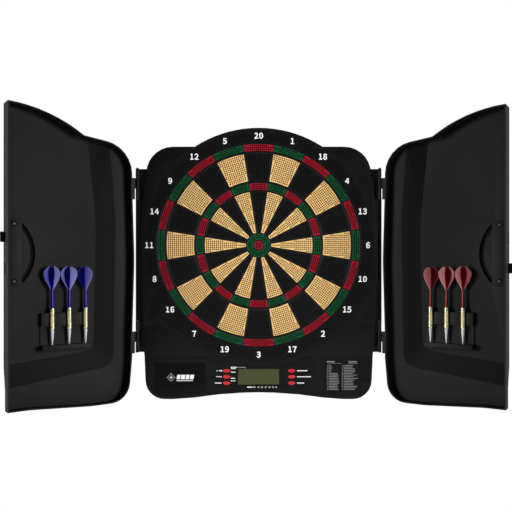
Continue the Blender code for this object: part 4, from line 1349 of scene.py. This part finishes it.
def vane_outline(half, low, high):
    """One vane, from the stem outwards: a tear drop that is widest near its top."""
    tall = high - low
    points = [(1.2 * MM, low)]
    for share in np.linspace(0.0, 1.0, 15):
        across = half * (0.08 + 0.92 * math.sin(min(1.0, share / WIDEST) * math.pi / 2) ** 1.35)
        if share > WIDEST:
            across = half * (1.0 - 0.62 * ((share - WIDEST) / (1.0 - WIDEST)) ** 2.2)
        points.append((max(across, 1.3 * MM), low + tall * (0.03 + 0.97 * share)))
    points.append((1.2 * MM, high - 1.6 * MM))
    return points


def vane_mesh(outline, thick, bow):
    """A thin vane in the XZ plane, bowed a little along its reach."""
    work = bmesh.new()
    half = max(x for x, z in outline)

    def bend(x):
        return bow * (x / half) ** 2

    near = [work.verts.new((x, bend(x) - thick / 2, z)) for x, z in outline]
    far = [work.verts.new((x, bend(x) + thick / 2, z)) for x, z in outline]
    work.faces.new(near)
    work.faces.new(far)
    bridge_rings(work, [near, far])
    return mesh_from(work, "vane")


# turns of a dart's two inner and two outer vanes from the viewer's line towards the hinge, in degrees
VANE_TURNS = ((8.0, -56.0, 66.0, -78.0), (24.0, -42.0, 80.0, -78.0), (33.0, -33.0, 78.0, -78.0))


class Darts(bpy.types.Operator):
    """Make the six darts: points, barrels, stems and flights"""

    bl_idname = "dartboard.darts"
    bl_label = "Darts"

    def execute(self, context):
        sizes = context.scene.dart_sizes
        for word, side in SIDES:
            tint = tints().blue if word == "left" else tints().crimson
            # the outer vanes get a paler copy of the flight's colour: a painted sheen
            pale = (0.33, 0.33, 0.62) if word == "left" else (0.58, 0.25, 0.25)
            inner = surface(f"{word}_flight_film", tint, 0.42, depth=0.004 * MM, level=0.25, Tone=0.3)
            outer = surface(f"{word}_flight_painted_sheen", pale, 0.50, depth=0.004 * MM, level=0.25, Tone=0.3)
            slot = "flight_blue" if word == "left" else "flight_red"
            for number, turns in enumerate(VANE_TURNS, 1):
                self.make_dart(f"{word}_dart_{number}", word, sizes, turns, inner, outer, slot)
        return {"FINISHED"}

    def make_dart(self, body, word, sizes, turns, inner, outer, slot):
        """Make one dart on its axis, and stand each piece of it in its place in the door."""
        low, high = door_box(f"{body}_point", word)
        x, y = (low.x + high.x) / 2, (low.y + high.y) / 2
        place = in_door(word) @ at(x, y, 0.0)

        def stand(mesh):
            mesh.transform(place)
            if place.determinant() < 0:
                mesh.flip_normals()
            return mesh

        point = smooth(turned(point_profile(low.z, high.z), 28))
        piece(f"{body}_tip", stand(point), [tip_nylon()], body, [f"{body}_point"])
        low, high = door_box(f"{body}_barrel", word)
        barrel = smooth(turned(barrel_profile(low.z, high.z, sizes), 36), 50.0)
        piece(f"{body}_grip", stand(barrel), [pale_brass()], body, [f"{body}_barrel"])
        low, high = door_box(f"{body}_flight", word)
        stem = smooth(turned(stem_profile(low.z, high.z), 28))
        piece(f"{body}_stem", stand(stem), [inner], body)
        outline = vane_outline(sizes.half, high.z - VANE_LENGTH, high.z)
        # the outer vanes wear the paler copy, which is a painted sheen
        for pair, angles, look in (("inner", turns[:2], inner), ("outer", turns[2:], outer)):
            vanes = []
            for angle in angles:
                bow = VANE_BOW * (-1 if angle > 0 else 1)
                turn = Matrix.Rotation(hinge_of(word)[1] - math.radians(90.0 + angle), 4, "Z")
                vanes.append((vane_mesh(outline, sizes.vane, bow), turn))
            mesh = stand(smooth(joined(vanes, f"{body}_vanes"), 30.0))
            stands_for = [f"{body}_flight"] if pair == "inner" else []
            piece(f"{body}_{pair}_vanes", mesh, [look], body, stands_for)


# ---------------------------------------------------------------- stage


class Stage(bpy.types.Operator):
    """Set up the pale floor, the soft studio lights and the camera"""

    bl_idname = "dartboard.stage"
    bl_label = "Stage"

    def execute(self, context):
        scene = context.scene
        self.make_floor()
        self.make_world(scene)
        self.make_lights()
        self.make_camera(scene)
        scene.view_settings.view_transform = "Standard"
        return {"FINISHED"}

    def make_floor(self):
        mesh = plate([[(-3.0, -0.5), (3.0, -0.5), (3.0, 0.5), (-3.0, 0.5)]], 0.0, 0.02, "floor")
        lying = Matrix.Rotation(math.pi / 2, 4, "X") @ Matrix.Diagonal((1, 1, 4, 1))
        mesh.transform(at(0.0, -1.6, -1.02) @ lying)
        floor = bpy.data.objects.new("floor", mesh)
        bpy.context.scene.collection.objects.link(floor)
        mesh.materials.append(surface("pale_floor", (0.82, 0.82, 0.81), 0.7, depth=0.05 * MM, Tone=0.02))

    def make_world(self, scene):
        """A white backdrop behind the object, and a dark room in front of it."""
        world = bpy.data.worlds.new("studio")
        scene.world = world
        world.use_nodes = True
        tree = world.node_tree
        path = tree.nodes.new("ShaderNodeLightPath")
        place = tree.nodes.new("ShaderNodeTexCoord")
        parts = add_node(tree, "ShaderNodeSeparateXYZ", {0: place.outputs["Generated"]})
        behind = math_node(tree, "MULTIPLY", math_node(tree, "MAXIMUM", parts.outputs["Y"], 0.0), 0.8)
        lit = math_node(tree, "ADD", behind, 0.03)
        strength = math_node(tree, "MAXIMUM", path.outputs["Is Camera Ray"], lit)
        wire(tree, tree.nodes["Background"], {"Color": (1.0, 1.0, 1.0, 1.0), "Strength": strength})

    def make_lights(self):
        """Two equal lamps, one on each side, that aim at the middle of the board."""
        for word, side in SIDES:
            lamp = bpy.data.lights.new(f"{word} light", "AREA")
            lamp.shape = "DISK"
            lamp.size = 1.0
            lamp.energy = 80.0
            made = bpy.data.objects.new(f"{word} light", lamp)
            bpy.context.scene.collection.objects.link(made)
            made.location = (side * 2.05, -0.95, 0.15)
            made.rotation_euler = (-made.location).to_track_quat("-Z", "Y").to_euler()

    def make_camera(self, scene):
        """Straight at the board, a little right of and below the bull, with the frame shifted back."""
        lens = bpy.data.cameras.new("camera")
        lens.sensor_width = 36.0
        lens.lens = 41.48
        lens.shift_x = -0.0586
        lens.shift_y = 0.0460
        lens.clip_end = 50.0
        camera = bpy.data.objects.new("camera", lens)
        scene.collection.objects.link(camera)
        axis = hinge_of("left")[0]
        camera.location = (0.0533, axis.y - 1.147, -0.0669)
        camera.rotation_euler = (math.pi / 2, 0.0, 0.0)
        scene.camera = camera


# ---------------------------------------------------------------- panel and registration

STEPS = (
    Stage, Casing, InnerParts, CatchRing, Numbers, Spider, ScoringKeys,
    Display, Controls, PanelPrint, Doors, Fasteners, Darts,
)


class BoardPanel(bpy.types.Panel):
    """The sizes and colours of the cabinet, and a button for each group of pieces"""

    bl_label = "Dart board cabinet"
    bl_idname = "VIEW3D_PT_dart_board_cabinet"
    bl_space_type = "VIEW_3D"
    bl_region_type = "UI"
    bl_category = "Dart board"

    def draw(self, context):
        for group in (context.scene.dart_board, context.scene.dart_sizes, context.scene.dart_colours):
            box = self.layout.box()
            for name in group.__annotations__:
                box.prop(group, name)
        for step in STEPS:
            self.layout.operator(step.bl_idname)


CLASSES = (BoardSizes, DartSizes, Colours, *STEPS, BoardPanel)


def register():
    for thing in CLASSES:
        bpy.utils.register_class(thing)
    bpy.types.Scene.dart_board = bpy.props.PointerProperty(type=BoardSizes)
    bpy.types.Scene.dart_sizes = bpy.props.PointerProperty(type=DartSizes)
    bpy.types.Scene.dart_colours = bpy.props.PointerProperty(type=Colours)


def unregister():
    del bpy.types.Scene.dart_board
    del bpy.types.Scene.dart_sizes
    del bpy.types.Scene.dart_colours
    for thing in reversed(CLASSES):
        bpy.utils.unregister_class(thing)


def main():
    register()
    for step in STEPS:
        group, name = step.bl_idname.split(".")
        getattr(getattr(bpy.ops, group), name)()


if __name__ == "__main__":
    main()
